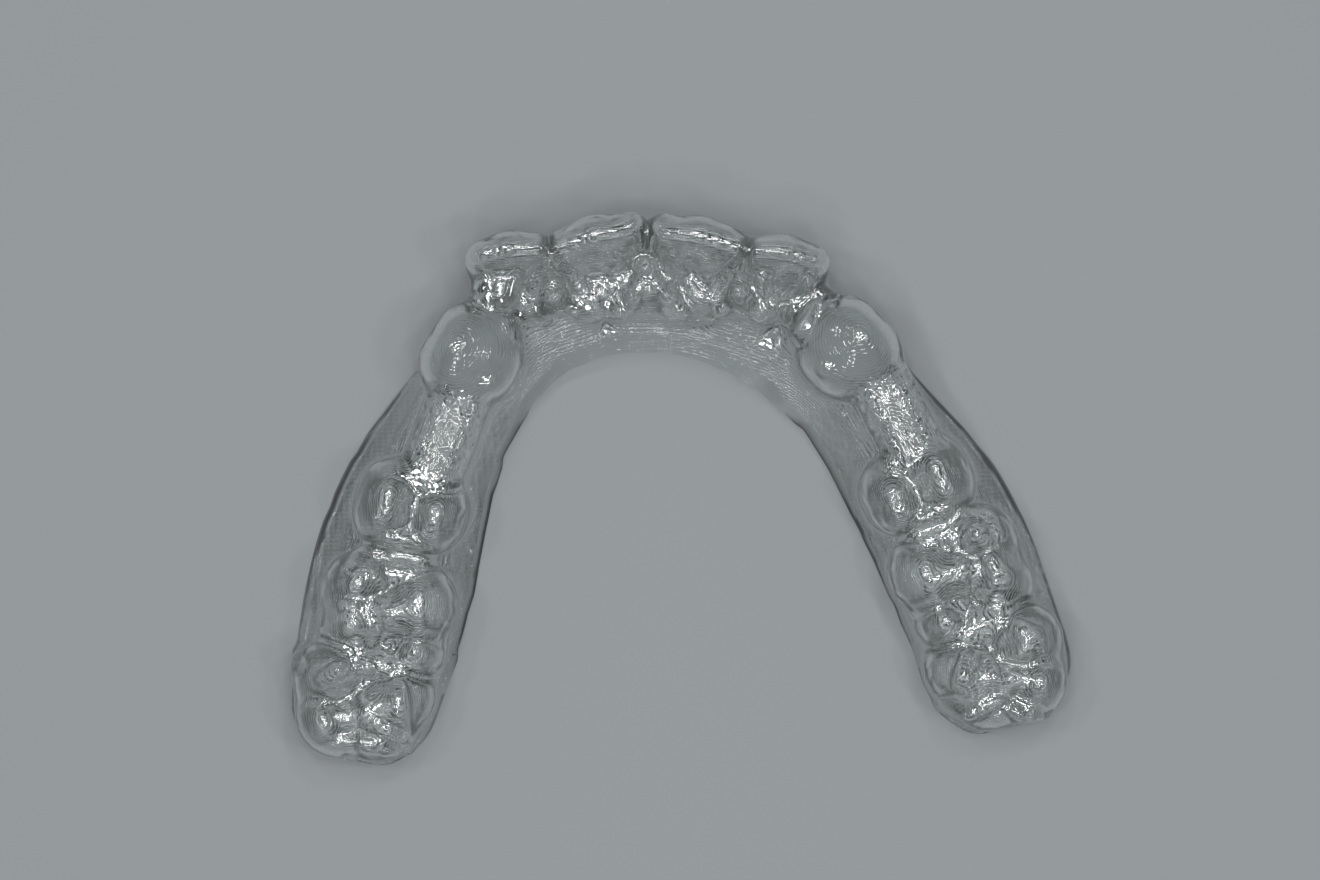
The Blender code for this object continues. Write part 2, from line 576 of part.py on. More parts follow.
class Sheet:
    """A grid of rays from the core of the arch outwards, over which the wall is drawn."""

    def __init__(self, cast, stations, rows, end_stations):
        self.cast, self.shape = cast, (stations, rows)
        inner = stations - 2 * end_stations
        s = np.concatenate([
            np.full(end_stations, cast.start),
            np.linspace(cast.start, cast.end, inner),
            np.full(end_stations, cast.end),
        ])
        wrap = np.concatenate([
            np.linspace(1, 0, end_stations, endpoint=False),
            np.zeros(inner),
            np.linspace(0, 1, end_stations + 1)[1:],
        ])
        end_sign = np.concatenate([-np.ones(end_stations), np.zeros(inner), np.ones(end_stations)])
        q = np.linspace(-1, 1, rows)
        self.s = np.repeat(s, rows)
        wrap, end_sign, q = np.repeat(wrap, rows), np.repeat(end_sign, rows), np.tile(q, stations)
        # The square end of the grid is turned on to a half disc
        sideways = -q * np.sqrt(1 - wrap**2 / 2)
        endways = wrap * np.sqrt(1 - q**2 / 2)
        self.share = np.hypot(sideways, endways)
        safe = np.maximum(self.share, 1e-9)
        self.sin_side, self.sin_end = sideways / safe, endways / safe
        self.place_rays(end_sign)

    def place_rays(self, end_sign):
        cast, s = self.cast, self.s
        place, along, outward = cast.arch.at(s)
        fan = np.clip(self.share / FAN_SHARE, 0, 1)
        drop = np.clip((self.share - FAN_SHARE) / (1 - FAN_SHARE), 0, 1)
        cheekward = np.clip(self.sin_side, 0, None) ** 2
        palateward = np.clip(-self.sin_side, 0, None) ** 2
        endward = self.sin_end**2
        self.core_height = cast.along(CORE_HEIGHT, s)
        self.core_offset = cast.along(CORE_OFFSET, s)
        rim = cheekward * cast.along(CHEEK_RIM, s) + palateward * cast.along(PALATE_RIM, s) + endward * END_RIM
        side_core = np.where(self.sin_side > 0, cast.along(CORE_CHEEK, s), cast.along(CORE_PALATE, s))
        base_side = self.core_offset + side_core * self.sin_side * fan
        base_end = END_CORE * self.sin_end * fan
        base_height = self.core_height + (rim - self.core_height) * drop
        tilt = fan * np.pi / 2
        self.base = np.stack([base_side, base_end, base_height], -1)
        self.way = np.stack([np.sin(tilt) * self.sin_side, np.sin(tilt) * self.sin_end, np.cos(tilt)], -1)
        self.outward, self.endward = outward, along * end_sign[:, None]
        self.place = place

    def points(self, reach):
        """World points at these distances along the rays, and their coordinates on the arch."""
        local = self.base + self.way * reach[:, None]
        flat = self.place + self.outward * local[:, :1] + self.endward * local[:, 1:2]
        return np.column_stack([flat, local[:, 2]]), local

    def draw(self, clearance):
        """Pushes the sheet in along its rays until it lies this far off the cast."""
        reach = np.full(len(self.s), FAR)
        for _ in range(DRAW_STEPS):
            world, local = self.points(reach)
            field = self.cast.field(world, self.s, local[:, 0], local[:, 1], self.core_height, self.core_offset)
            reach = np.maximum(reach - RELAX * (field - clearance), 0.2 * MM)
        return self.points(reach)[0]


def add_face(bm, sheet, points, outside):
    """One face of the wall: a grid laid on to the drawn points. Returns its border edges."""
    stations, rows = sheet.shape
    made = bmesh.ops.create_grid(bm, x_segments=stations - 1, y_segments=rows - 1, size=0.5)
    for vert in made["verts"]:
        column = round((vert.co.x + 0.5) * (stations - 1))
        row = round((vert.co.y + 0.5) * (rows - 1))
        vert.co = points[column * rows + row]
    faces = list({face for vert in made["verts"] for face in vert.link_faces})
    if outside:
        bmesh.ops.reverse_faces(bm, faces=faces)
    return [edge for edge in {e for face in faces for e in face.edges} if edge.is_boundary]


def aligner_mesh():
    cast = Cast()
    sheet = Sheet(cast, STATIONS, ROWS, END_STATIONS)
    fitting, outer = sheet.draw(0.0), sheet.draw(WALL)
    # The origin is the middle of the footprint
    middle = (outer[:, :2].min(axis=0) + outer[:, :2].max(axis=0)) / 2
    fitting[:, :2] -= middle
    outer[:, :2] -= middle
    bm = bmesh.new()
    border = add_face(bm, sheet, fitting, outside=False)
    border += add_face(bm, sheet, outer, outside=True)
    bmesh.ops.bridge_loops(bm, edges=border)
    bmesh.ops.triangulate(bm, faces=bm.faces[:])
    bmesh.ops.recalc_face_normals(bm, faces=bm.faces[:])
    mesh = bpy.data.meshes.new("aligner")
    bm.to_mesh(mesh)
    bm.free()
    mesh.shade_smooth()
    return mesh


def clear_plastic():
    material = bpy.data.materials.new("clear_plastic")
    material.use_nodes = True
    shader = material.node_tree.nodes["Principled BSDF"]
    shader.inputs["Base Color"].default_value = (0.86, 0.90, 0.89, 1.0)
    shader.inputs["Roughness"].default_value = 0.08
    shader.inputs["Metallic"].default_value = 0.0
    shader.inputs["Transmission Weight"].default_value = 1.0
    shader.inputs["IOR"].default_value = 1.5
    return material


def main():
    for obj in list(bpy.data.objects):
        bpy.data.objects.remove(obj)
    mesh = aligner_mesh()
    mesh.materials.append(clear_plastic())
    aligner = bpy.data.objects.new("aligner", mesh)
    bpy.context.scene.collection.objects.link(aligner)


main()
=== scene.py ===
"""Looks of the clear aligner: the drawn sheet in full detail, its clear plastic, the table, light and camera.

The solid of the part is the frame. The sheet here is drawn over the same cast on a grid four times as fine,
so that fissures, pits and the cut edge show, and it takes the place of the solid. Metres, +Z up.
"""

from dataclasses import dataclass

import bmesh
import bpy
import numpy as np
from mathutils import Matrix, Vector


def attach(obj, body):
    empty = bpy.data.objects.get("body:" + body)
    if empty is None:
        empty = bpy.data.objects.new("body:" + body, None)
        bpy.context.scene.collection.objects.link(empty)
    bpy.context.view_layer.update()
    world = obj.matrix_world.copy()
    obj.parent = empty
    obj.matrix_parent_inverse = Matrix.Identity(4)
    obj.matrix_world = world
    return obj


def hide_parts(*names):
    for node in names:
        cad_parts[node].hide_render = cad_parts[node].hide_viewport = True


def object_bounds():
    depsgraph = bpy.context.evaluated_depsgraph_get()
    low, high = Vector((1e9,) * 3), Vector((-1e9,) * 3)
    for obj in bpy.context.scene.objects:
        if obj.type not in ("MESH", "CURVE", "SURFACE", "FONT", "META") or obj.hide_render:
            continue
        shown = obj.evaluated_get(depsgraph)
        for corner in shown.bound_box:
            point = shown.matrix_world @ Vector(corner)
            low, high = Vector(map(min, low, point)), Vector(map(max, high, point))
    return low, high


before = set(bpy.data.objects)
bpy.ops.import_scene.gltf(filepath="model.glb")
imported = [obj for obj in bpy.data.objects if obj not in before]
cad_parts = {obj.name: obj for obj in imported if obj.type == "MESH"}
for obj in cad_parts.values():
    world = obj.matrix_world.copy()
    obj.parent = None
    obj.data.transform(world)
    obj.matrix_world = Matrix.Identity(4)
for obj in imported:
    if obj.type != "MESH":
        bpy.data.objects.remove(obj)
cad_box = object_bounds()

MM = 0.001

# The sheet
WALL = 0.75 * MM
STATIONS = 440
ROWS = 111
END_STATIONS = 44

# Arch line: where the middles of the teeth lie, from the right end round the front to the left end
ARCH_WIDTH, ARCH_LENGTH = 52.5 * MM, 38.2 * MM
ARCH_POINTS = (
    (-0.5067 * ARCH_WIDTH, -0.5131 * ARCH_LENGTH),
    (-0.4590 * ARCH_WIDTH, -0.2513 * ARCH_LENGTH),
    (-0.4000 * ARCH_WIDTH, 0.0157 * ARCH_LENGTH),
    (-0.3276 * ARCH_WIDTH, 0.2461 * ARCH_LENGTH),
    (-0.2210 * ARCH_WIDTH, 0.4293 * ARCH_LENGTH),
    (-0.0190 * ARCH_WIDTH, 0.4869 * ARCH_LENGTH),
    (0.1676 * ARCH_WIDTH, 0.4188 * ARCH_LENGTH),
    (0.2914 * ARCH_WIDTH, 0.2461 * ARCH_LENGTH),
    (0.3790 * ARCH_WIDTH, -0.0157 * ARCH_LENGTH),
    (0.4457 * ARCH_WIDTH, -0.2513 * ARCH_LENGTH),
    (0.4933 * ARCH_WIDTH, -0.5131 * ARCH_LENGTH),
)

# Crowns of the cast: width along the arch, depth across it, height of the biting edge above the rim
CENTRAL_WIDTH, CENTRAL_DEPTH, CENTRAL_HEIGHT = 8.0 * MM, 7.0 * MM, 9.6 * MM
LATERAL_WIDTH, LATERAL_DEPTH, LATERAL_HEIGHT = 6.3 * MM, 6.2 * MM, 9.3 * MM
CANINE_WIDTH, CANINE_DEPTH, CANINE_HEIGHT = 7.0 * MM, 6.8 * MM, 9.5 * MM
PREMOLAR_WIDTH, PREMOLAR_DEPTH, PREMOLAR_HEIGHT = 7.2 * MM, 8.2 * MM, 8.6 * MM
FIRST_MOLAR_WIDTH, FIRST_MOLAR_DEPTH, FIRST_MOLAR_HEIGHT = 9.2 * MM, 10.2 * MM, 8.3 * MM
SECOND_MOLAR_WIDTH, SECOND_MOLAR_DEPTH, SECOND_MOLAR_HEIGHT = 8.4 * MM, 11.2 * MM, 7.9 * MM
BAR_LENGTH, BAR_WIDTH, BAR_HEIGHT = 6.4 * MM, 3.8 * MM, 7.6 * MM

NECK_HEIGHT = 2.6 * MM
GROOVE_BLEND = 0.35 * MM
FLOOR_BLEND = 1.2 * MM
LOBE_BLEND = 1.3 * MM
SHOULDER_BLEND = 1.3 * MM
EMBRASURE_BLEND = 0.55 * MM
TIP_ROUND = 0.55 * MM
CORE_RADIUS = 1.1 * MM
# Webs that fill the contacts between neighbours, in shares of the lesser depth and height
WEB_SHARE, WEB_HEIGHT = 0.40, 0.70
WEB_RADIUS, WEB_BLEND, WEB_REACH = 0.6 * MM, 0.8 * MM, 6.0 * MM
PAPILLA_REACH, PAPILLA_FOOT = 1.7, 3.9 * MM
# Where a crown is widest, as a share of its rise, and how it narrows above and below that
WIDEST_ACROSS, TOP_ACROSS = 0.3, 0.49
WIDEST_ALONG, TOP_ALONG = 0.45, 0.3
NARROW_ALONG, NECK_ALONG = 0.35, 2.2
# The rays of the sheet: where they start from, how close they come and in how many steps
FAR, NEAREST = 16.0 * MM, 0.2 * MM
RELAX = 0.75
DRAW_STEPS = 50
# A stretch inside the curve of the front is met by rays from this much more of the arch than its own length
FAN_SPREAD = 2.4


@dataclass
class Form:
    """Shape of one kind of crown, in shares of its half width, half depth and height.

    lobes: stadiums (start, end, radius) that make the outline. ridges: the (x, y, drop) ends of each cusp
    or ridge on the biting side, which falls away at the slope down to the floor. union: how softly the crown
    joins its neighbours. x runs towards the midline, y towards the cheek or lip.
    """

    lobes: tuple
    ridges: tuple
    slope: float = 0.62
    floor: float = 0.5
    waist: float = 0.30
    pinch: float = 0.06
    lean: float = 0.0
    tip_round: float = 1.0
    shoulder: float = 1.0
    union: float = 1.0


INCISOR = Form(
    lobes=(
        ((-0.60, 0.46), (0.0, 0.54), 0.36),
        ((0.0, 0.54), (0.62, 0.52), 0.36),
        ((-0.20, -0.36), (0.20, -0.36), 0.62),
    ),
    ridges=(
        ((-0.78, 0.52, 0.05), (0.0, 0.64, 0.0)),
        ((0.0, 0.64, 0.0), (0.78, 0.60, 0.01)),
        ((0.80, 0.46, 0.07), (0.40, -0.60, 0.35)),
        ((-0.80, 0.42, 0.10), (-0.40, -0.60, 0.36)),
        ((-0.18, -0.66, 0.35), (0.18, -0.66, 0.35)),
        ((0.0, -0.60, 0.34), (0.04, -0.20, 0.40)),
    ),
    slope=1.3,
    floor=0.38,
    waist=0.08,
    pinch=0.16,
    lean=0.10,
    tip_round=0.7,
    shoulder=0.55,
    union=0.9,
)
CANINE = Form(
    lobes=(
        ((-0.30, 0.14), (0.26, 0.16), 0.78),
        ((-0.14, -0.34), (0.12, -0.34), 0.68),
    ),
    ridges=(
        ((-0.06, 0.30, 0.0), (0.08, 0.30, 0.0)),
        ((0.08, 0.30, 0.0), (0.74, 0.12, 0.12)),
        ((-0.06, 0.30, 0.0), (-0.74, 0.06, 0.13)),
        ((0.0, 0.20, 0.03), (0.04, -0.50, 0.15)),
        ((0.66, 0.06, 0.14), (0.34, -0.60, 0.17)),
        ((-0.66, 0.02, 0.14), (-0.34, -0.60, 0.17)),
    ),
    slope=0.62,
    waist=0.22,
    pinch=0.10,
    lean=0.06,
    tip_round=1.1,
)
PREMOLAR = Form(
    lobes=(
        ((-0.16, 0.34), (0.16, 0.34), 0.68),
        ((-0.10, -0.38), (0.12, -0.38), 0.64),
    ),
    ridges=(
        ((-0.26, 0.46, 0.03), (0.22, 0.48, 0.0)),
        ((-0.30, -0.54, 0.07), (0.08, -0.54, 0.05)),
        ((0.02, 0.44, 0.02), (0.02, 0.14, 0.14)),
        ((-0.06, -0.50, 0.07), (0.02, -0.16, 0.17)),
        ((0.74, 0.30, 0.12), (0.72, -0.28, 0.14)),
        ((-0.74, 0.30, 0.12), (-0.72, -0.28, 0.14)),
    ),
    slope=0.85,
)
FIRST_MOLAR = Form(
    lobes=(
        ((0.38, 0.40), (0.38, 0.40), 0.60),
        ((-0.42, 0.38), (-0.42, 0.38), 0.57),
        ((0.26, -0.36), (0.26, -0.36), 0.66),
        ((-0.62, -0.44), (-0.62, -0.44), 0.46),
    ),
    ridges=(
        ((0.52, 0.50, 0.03), (0.68, 0.44, 0.03)),
        ((0.06, 0.54, 0.05), (-0.10, 0.50, 0.05)),
        ((0.12, -0.58, 0.02), (0.38, -0.55, 0.0)),
        ((-0.66, -0.56, 0.11), (-0.60, -0.50, 0.10)),
        ((-0.10, 0.46, 0.07), (-0.62, 0.36, 0.17)),
        ((0.58, 0.44, 0.04), (0.34, 0.08, 0.20)),
        ((0.22, -0.50, 0.02), (-0.02, 0.44, 0.12)),
        ((-0.58, -0.46, 0.10), (-0.36, -0.20, 0.22)),
        ((0.88, 0.36, 0.12), (0.86, -0.34, 0.13)),
        ((-0.90, 0.28, 0.15), (-0.92, -0.30, 0.18)),
    ),
    slope=0.85,
)
SECOND_MOLAR = Form(
    lobes=(
        ((0.36, 0.44), (0.36, 0.44), 0.58),
        ((-0.38, 0.36), (-0.38, 0.36), 0.54),
        ((0.22, -0.40), (0.22, -0.40), 0.60),
        ((-0.46, -0.26), (-0.46, -0.26), 0.44),
    ),
    ridges=(
        ((0.40, 0.50, 0.02), (0.56, 0.44, 0.02)),
        ((-0.44, 0.54, 0.07), (-0.52, 0.48, 0.08)),
        ((-0.12, -0.52, 0.02), (0.14, -0.50, 0.01)),
        ((-0.54, -0.36, 0.15), (-0.50, -0.30, 0.15)),
        ((0.46, 0.42, 0.03), (0.26, 0.08, 0.20)),
        ((0.04, -0.44, 0.04), (-0.38, 0.42, 0.14)),
        ((0.86, 0.36, 0.12), (0.84, -0.30, 0.14)),
        ((-0.84, 0.26, 0.17), (-0.82, -0.18, 0.20)),
    ),
    slope=0.85,
)
BAR = Form(
    lobes=(((-1.1, 0.0), (1.1, 0.0), 1.0),),
    ridges=(
        ((-1.2, 0.30, 0.0), (1.2, 0.30, 0.0)),
        ((-1.2, -0.30, 0.0), (1.2, -0.30, 0.0)),
    ),
    slope=0.30,
    waist=0.06,
    pinch=0.0,
    tip_round=0.8,
)

# One side of the arch, from the midline back: form, width, depth, height
SIDE = (
    (INCISOR, CENTRAL_WIDTH, CENTRAL_DEPTH, CENTRAL_HEIGHT),
    (INCISOR, LATERAL_WIDTH, LATERAL_DEPTH, LATERAL_HEIGHT),
    (CANINE, CANINE_WIDTH, CANINE_DEPTH, CANINE_HEIGHT),
    (BAR, BAR_LENGTH, BAR_WIDTH, BAR_HEIGHT),
    (PREMOLAR, PREMOLAR_WIDTH, PREMOLAR_DEPTH, PREMOLAR_HEIGHT),
    (FIRST_MOLAR, FIRST_MOLAR_WIDTH, FIRST_MOLAR_DEPTH, FIRST_MOLAR_HEIGHT),
    (SECOND_MOLAR, SECOND_MOLAR_WIDTH, SECOND_MOLAR_DEPTH, SECOND_MOLAR_HEIGHT),
)
# How this mouth departs from an even arch, from the midline back: along it and out of it in mm, and the
# turn in degrees
RIGHT_PLACES = (
    (0.0, -0.5, 4.0),
    (0.3, 1.3, -34.0),
    (0.3, -0.1, -4.0),
    (0.5, -0.8, 0.0),
    (0.3, 0.1, 2.0),
    (-0.6, 0.0, 6.0),
    (1.1, 0.5, 2.0),
)
LEFT_PLACES = (
    (0.1, -0.6, 0.0),
    (0.2, 0.6, -26.0),
    (-0.6, 0.2, -6.0),
    (-0.3, 0.8, 0.0),
    (0.3, -0.1, 0.0),
    (0.3, 0.2, 0.0),
    (1.0, 0.6, -2.0),
)
# A raised block bonded behind the right lateral: middle, half sizes, turn and height
BLOCK_MIDDLE = (-13.3 * MM, 17.4 * MM)
BLOCK_HALF_LENGTH, BLOCK_HALF_WIDTH, BLOCK_HEIGHT = 0.6 * MM, 0.95 * MM, 8.0 * MM
BLOCK_TURN = 72.0
BLOCK_BLEND = 0.9 * MM
# Fine relief of this mouth, in mm: a stretch in plan (x and y of its ends), its half width and its depth. A
# depth below 0 stands proud
RELIEF = (
    # The papilla between the centrals, with its two legs
    (-1.4, 18.1, -2.4, 15.6, 0.55, -0.45),
    (-1.1, 17.9, 0.4, 15.4, 0.55, -0.45),
    (-2.4, 15.6, -3.4, 14.6, 0.50, -0.20),
    (0.4, 15.4, 1.4, 14.3, 0.50, -0.20),
    (-2.1, 19.6, -2.5, 17.8, 0.65, 0.40),
    (-0.1, 19.3, -0.0, 17.4, 0.60, 0.40),
    (-4.1, 16.1, -4.6, 15.6, 0.70, 0.30),
    (1.3, 16.2, 1.8, 15.6, 0.70, 0.30),
    # The backs of the centrals
    (-3.4, 18.8, -4.1, 16.6, 0.45, -0.25),
    (0.9, 18.8, 1.8, 16.8, 0.45, -0.25),
    (-6.6, 18.7, -5.6, 18.5, 1.50, 0.25),
    (2.3, 17.7, 2.4, 17.6, 0.70, 0.30),
    (4.5, 18.1, 3.8, 17.0, 0.50, -0.20),
    (-4.8, 14.0, -4.8, 13.9, 0.80, 0.45),
    (3.0, 13.9, 3.0, 13.9, 0.90, 0.40),
    (-2.2, 22.0, -1.6, 22.0, 0.60, -0.25),
    (-0.4, 22.1, 0.5, 22.1, 0.70, -0.30),
    # The papillae beside the laterals
    (6.4, 17.5, 6.2, 15.7, 0.60, -0.35),
    (6.2, 15.7, 4.6, 14.3, 0.50, -0.35),
    (6.2, 15.7, 7.9, 13.8, 0.55, -0.35),
    (-8.9, 18.6, -8.9, 16.0, 0.60, -0.35),
    (-8.6, 16.0, -7.2, 15.0, 0.50, -0.30),
    (-9.0, 16.0, -9.7, 14.3, 0.50, -0.30),
    # The back of the left lateral
    (8.5, 16.4, 8.9, 14.3, 0.60, -0.45),
    (11.7, 16.1, 10.0, 14.6, 0.45, -0.40),
    (10.5, 15.8, 9.7, 15.4, 0.80, 0.50),
    (9.0, 12.6, 9.3, 12.5, 0.90, 0.50),
    # The canines
    (11.3, 12.5, 12.6, 14.1, 0.40, -0.30),
    (12.8, 8.9, 13.0, 8.8, 0.50, -0.25),
    (-14.0, 10.6, -13.9, 10.2, 0.60, 0.25),
    (-15.4, 10.2, -14.9, 9.8, 0.50, 0.25),
    # The right molars
    (-26.7, -5.1, -25.7, -3.9, 0.40, -0.20),
    (-25.7, -3.9, -23.8, -4.0, 0.40, -0.20),
    (-27.0, -8.2, -24.3, -8.1, 0.40, -0.20),
    (-24.0, -8.3, -23.6, -9.6, 0.40, -0.25),
    (-26.8, -10.0, -24.9, -10.1, 0.40, -0.20),
    (-24.6, -5.7, -24.1, -6.7, 0.40, -0.25),
    (-22.9, -12.0, -22.8, -12.2, 0.90, 0.50),
    (-21.6, -13.5, -21.3, -13.7, 0.90, 0.30),
    (-29.3, -14.2, -28.0, -13.4, 0.50, -0.25),
    (-28.0, -13.4, -25.6, -13.4, 0.50, -0.25),
    (-27.8, -16.4, -27.3, -16.5, 0.90, 0.30),
    (-23.2, -14.7, -22.9, -19.0, 0.45, -0.30),
    (-25.9, -17.6, -22.9, -19.6, 0.45, -0.30),
    (-26.4, -19.4, -22.9, -20.6, 0.45, -0.30),
    (-31.8, -12.1, -31.8, -13.0, 0.60, -0.45),
    # The left molars
    (23.6, -3.3, 25.7, -3.7, 0.40, -0.20),
    (25.7, -3.7, 26.3, -5.4, 0.40, -0.20),
    (22.4, -5.5, 23.2, -7.5, 0.40, -0.25),
    (23.2, -7.5, 23.2, -9.6, 0.40, -0.20),
    (24.5, -4.8, 23.8, -6.0, 0.40, -0.25),
    (25.5, -7.2, 26.6, -8.7, 0.40, -0.20),
    (26.6, -9.0, 24.7, -9.7, 0.40, -0.20),
    (22.4, -11.3, 22.6, -11.5, 0.80, 0.35),
    (23.7, -11.4, 23.8, -11.6, 0.50, -0.25),
    (27.4, -12.6, 28.9, -13.6, 0.40, -0.25),
    (28.9, -13.6, 29.3, -15.0, 0.40, -0.20),
    (27.6, -14.9, 27.9, -14.9, 0.50, -0.25),
    (25.9, -15.2, 27.1, -15.2, 0.40, -0.25),
    (23.2, -14.9, 22.5, -17.4, 0.45, -0.35),
    (24.9, -15.3, 25.4, -16.8, 0.40, -0.25),
    (22.4, -18.2, 22.6, -18.3, 0.90, 0.30),
    (21.3, -19.2, 23.2, -19.9, 0.40, -0.30),
    (23.2, -19.9, 25.7, -18.8, 0.40, -0.30),
    (25.7, -18.8, 27.3, -20.1, 0.40, -0.25),
    (27.3, -20.1, 29.7, -20.4, 0.40, -0.25),
)

# The gum and the trim line, from the midline back, right side and left side. Rims below 0 end on the table
CHEEK_REACH = (
    tuple(v * MM for v in (1.7, 1.8, 2.2, 4.1, 5.8, 6.3, 5.8)),
    tuple(v * MM for v in (1.7, 1.8, 2.2, 3.6, 5.6, 6.1, 6.2)),
)
CHEEK_SHELF = tuple(v * MM for v in (0.5, 1.0, 1.6, 1.9, 3.4, 4.2, 4.4))
CHEEK_RIM = tuple(v * MM for v in (-0.05, 0.2, 0.5, 0.25, -0.05, -0.05, -0.05))
PALATE_REACH = (
    tuple(v * MM for v in (5.9, 6.0, 5.4, 5.0, 5.3, 5.7, 4.7)),
    tuple(v * MM for v in (6.0, 6.3, 6.0, 5.4, 5.1, 5.0, 4.6)),
)
PALATE_SHELF = tuple(v * MM for v in (2.6, 2.6, 2.6, 2.4, 3.4, 4.0, 3.8))
PALATE_RIM = tuple(v * MM for v in (2.9, 2.6, 1.6, 0.6, 0.3, 0.2, 0.3))
GUM_HEIGHT = tuple(v * MM for v in (4.7, 4.6, 4.1, 3.9, 3.2, 2.9, 2.7))
GUM_BLEND = 1.2 * MM
END_REACH = 3.5 * MM
END_RIM = 0.2 * MM
END_SLOPE = 0.35
END_BLEND = 1.1 * MM
# Each distal corner is cut off square to a direction this share endwards and this share sideways
CORNER_ENDWARD, CORNER_SIDEWARD = 0.66, 0.75
CHEEK_CORNER, PALATE_CORNER = 5.0 * MM, 4.0 * MM

# Where the rays start inside the cast, from the midline back
CORE_HEIGHT = tuple(v * MM for v in (5.4, 5.2, 5.0, 4.9, 4.8, 4.6, 4.4))
CORE_OFFSET = tuple(v * MM for v in (0.6, 0.6, 0.2, 0.0, 0.0, 0.0, 0.0))
CORE_CHEEK = tuple(v * MM for v in (0.2, 0.3, 1.2, 0.5, 2.2, 2.8, 2.8))
CORE_PALATE = tuple(v * MM for v in (2.6, 2.2, 1.4, 0.5, 2.2, 2.8, 2.6))
END_CORE = 1.6 * MM
FAN_SHARE = 0.66

# The hand-cut edge wanders up from the trim line by up to this much, in straight cuts this many mm long
CHEEK_CUTS, PALATE_CUTS = 0.20 * MM, 0.40 * MM
CUT_SHORTEST, CUT_LONGEST, CUT_COUNT, CUTS_START = 0.8, 2.6, 110, -20 * MM
FRONT_REACH = 9.0 * MM

# What each point of the sheet carries for its look: steepness, frost, sharpness of print lines, and painted
# shade along the cut edge
MARKS = ("tilt", "frost", "print", "edge")
OUTER_SHARPNESS = 0.32
LEAST_UP = 0.1
# The cut edge is frosted round the ends, where the scissors turned
RIM_SHARE, RIM_FADE = 0.96, 0.02
# The bars are frosted on top, and the canines hold little of the print
BAR_END, BAR_TOP = 1.15, 0.75
CANINE_SMOOTH = 0.65
# Painted shade, a dark band for the shadow and dark reflection at the cut edge, cheek side and tongue side:
# its width, and the shares of the way from the midline to the end where it begins and stops
CHEEK_EDGE_SHADE, TONGUE_EDGE_SHADE = (0.55 * MM, 0.36, 0.86), (0.30 * MM, 0.40, 0.92)
EDGE_FADE, EDGE_RISE = 0.06 * MM, 0.55
EDGE_GROWS, EDGE_SHRINKS = 0.2, 0.1
EDGE_THINNEST, EDGE_THICKEST, EDGE_STRETCHES = 0.6, 1.2, 60
# Inside this oval, in mm, the cut edge is square
TONGUE_HALF_WIDTH, TONGUE_HALF_LENGTH, TONGUE_BACK = 20, 27, 12

# The printed cast shows through the sheet: its layers, the risers between them and the dots of its screen
LAYER = 0.16 * MM
RISER = 0.16 * MM
TREAD, STEEP = 0.05, 1.8
NARROWEST_RISER = 0.03
DOT_LENGTH, DOT_WIDTH, DOT_RISE, DOT_DEPTH = 0.50 * MM, 0.36 * MM, 0.020 * MM, 0.022 * MM
# Depth and scale of the waver of those lines, of the grain of the frost and of the peel of the sheet
WAVER, WAVER_SCALE = 0.03 * MM, 500.0
GRAIN, GRAIN_SCALE = 0.24 * MM, 2600.0
PEEL, PEEL_SCALE = 0.075 * MM, 1300.0
PATCH_SCALE = 260.0
# Each from one stretch of values on to another: print lines and haze by the patches, clearness by steepness
SHARP_PATCHES = (0.46, 0.56, 0.1, 1.1)
HAZY_PATCHES, FROST_HAZE = (0.40, 0.55, 0.06, 0.0), 0.03
CLEARNESS = (0.3, 3.0, 0.985, 0.955)

# The sheet's own colour, and near black for the painted shade along the cut edge
PLASTIC, PAINTED_EDGE_SHADE = (0.93, 0.96, 0.95, 1.0), (0.01, 0.012, 0.012, 1.0)
# What is left of light that passes the sheet square on, and of light that grazes it
SQUARE_SHADE, GRAZING_SHADE, GRAZING_POWER = (0.86, 0.875, 0.87, 1.0), (0.12, 0.13, 0.13, 1.0), 1.5
TABLE_COLOUR, TABLE_HALF_SIZE, TABLE_DROP = (0.25, 0.268, 0.28, 1.0), 0.9, 0.02 * MM
SKY_COLOUR, SKY_STRENGTH = (0.86, 0.90, 0.92, 1.0), 0.13
# Soft lights over the part, in two rings. In the outer one: turn in degrees, distance out and power
LIGHT_HEIGHT = 0.58
OUTER_RING = (
    (20, 0.17, 0.38), (65, 0.26, 0.38), (112, 0.20, 0.40), (160, 0.28, 0.44),
    (205, 0.18, 0.38), (250, 0.27, 0.40), (295, 0.20, 0.38), (340, 0.29, 0.44),
)
OUTER_SIZE = 0.06
INNER_START, INNER_STEP, INNER_OUT = 15, 45, (0.10, 0.06)
INNER_SIZE, INNER_POWER = 0.035, 0.11
# The camera hangs over the part and looks straight down, a little turned, as the photograph was taken
CAMERA_PLACE, CAMERA_TURN = (-0.00069, 0.00351, 0.45), -3.0
CAMERA_SENSOR, CAMERA_LENS, CAMERA_NEAR = 36.0, 148.1, 0.01


def smooth_max(a, b, blend):
    """The larger of two fields, with the edge between them rounded."""
    overlap = np.maximum(blend - np.abs(a - b), 0.0)
    return np.maximum(a, b) + overlap * overlap / (4 * blend)


def smooth_min(a, b, blend):
    """The smaller of two fields, with the groove between them filled."""
    return -smooth_max(-a, -b, blend)


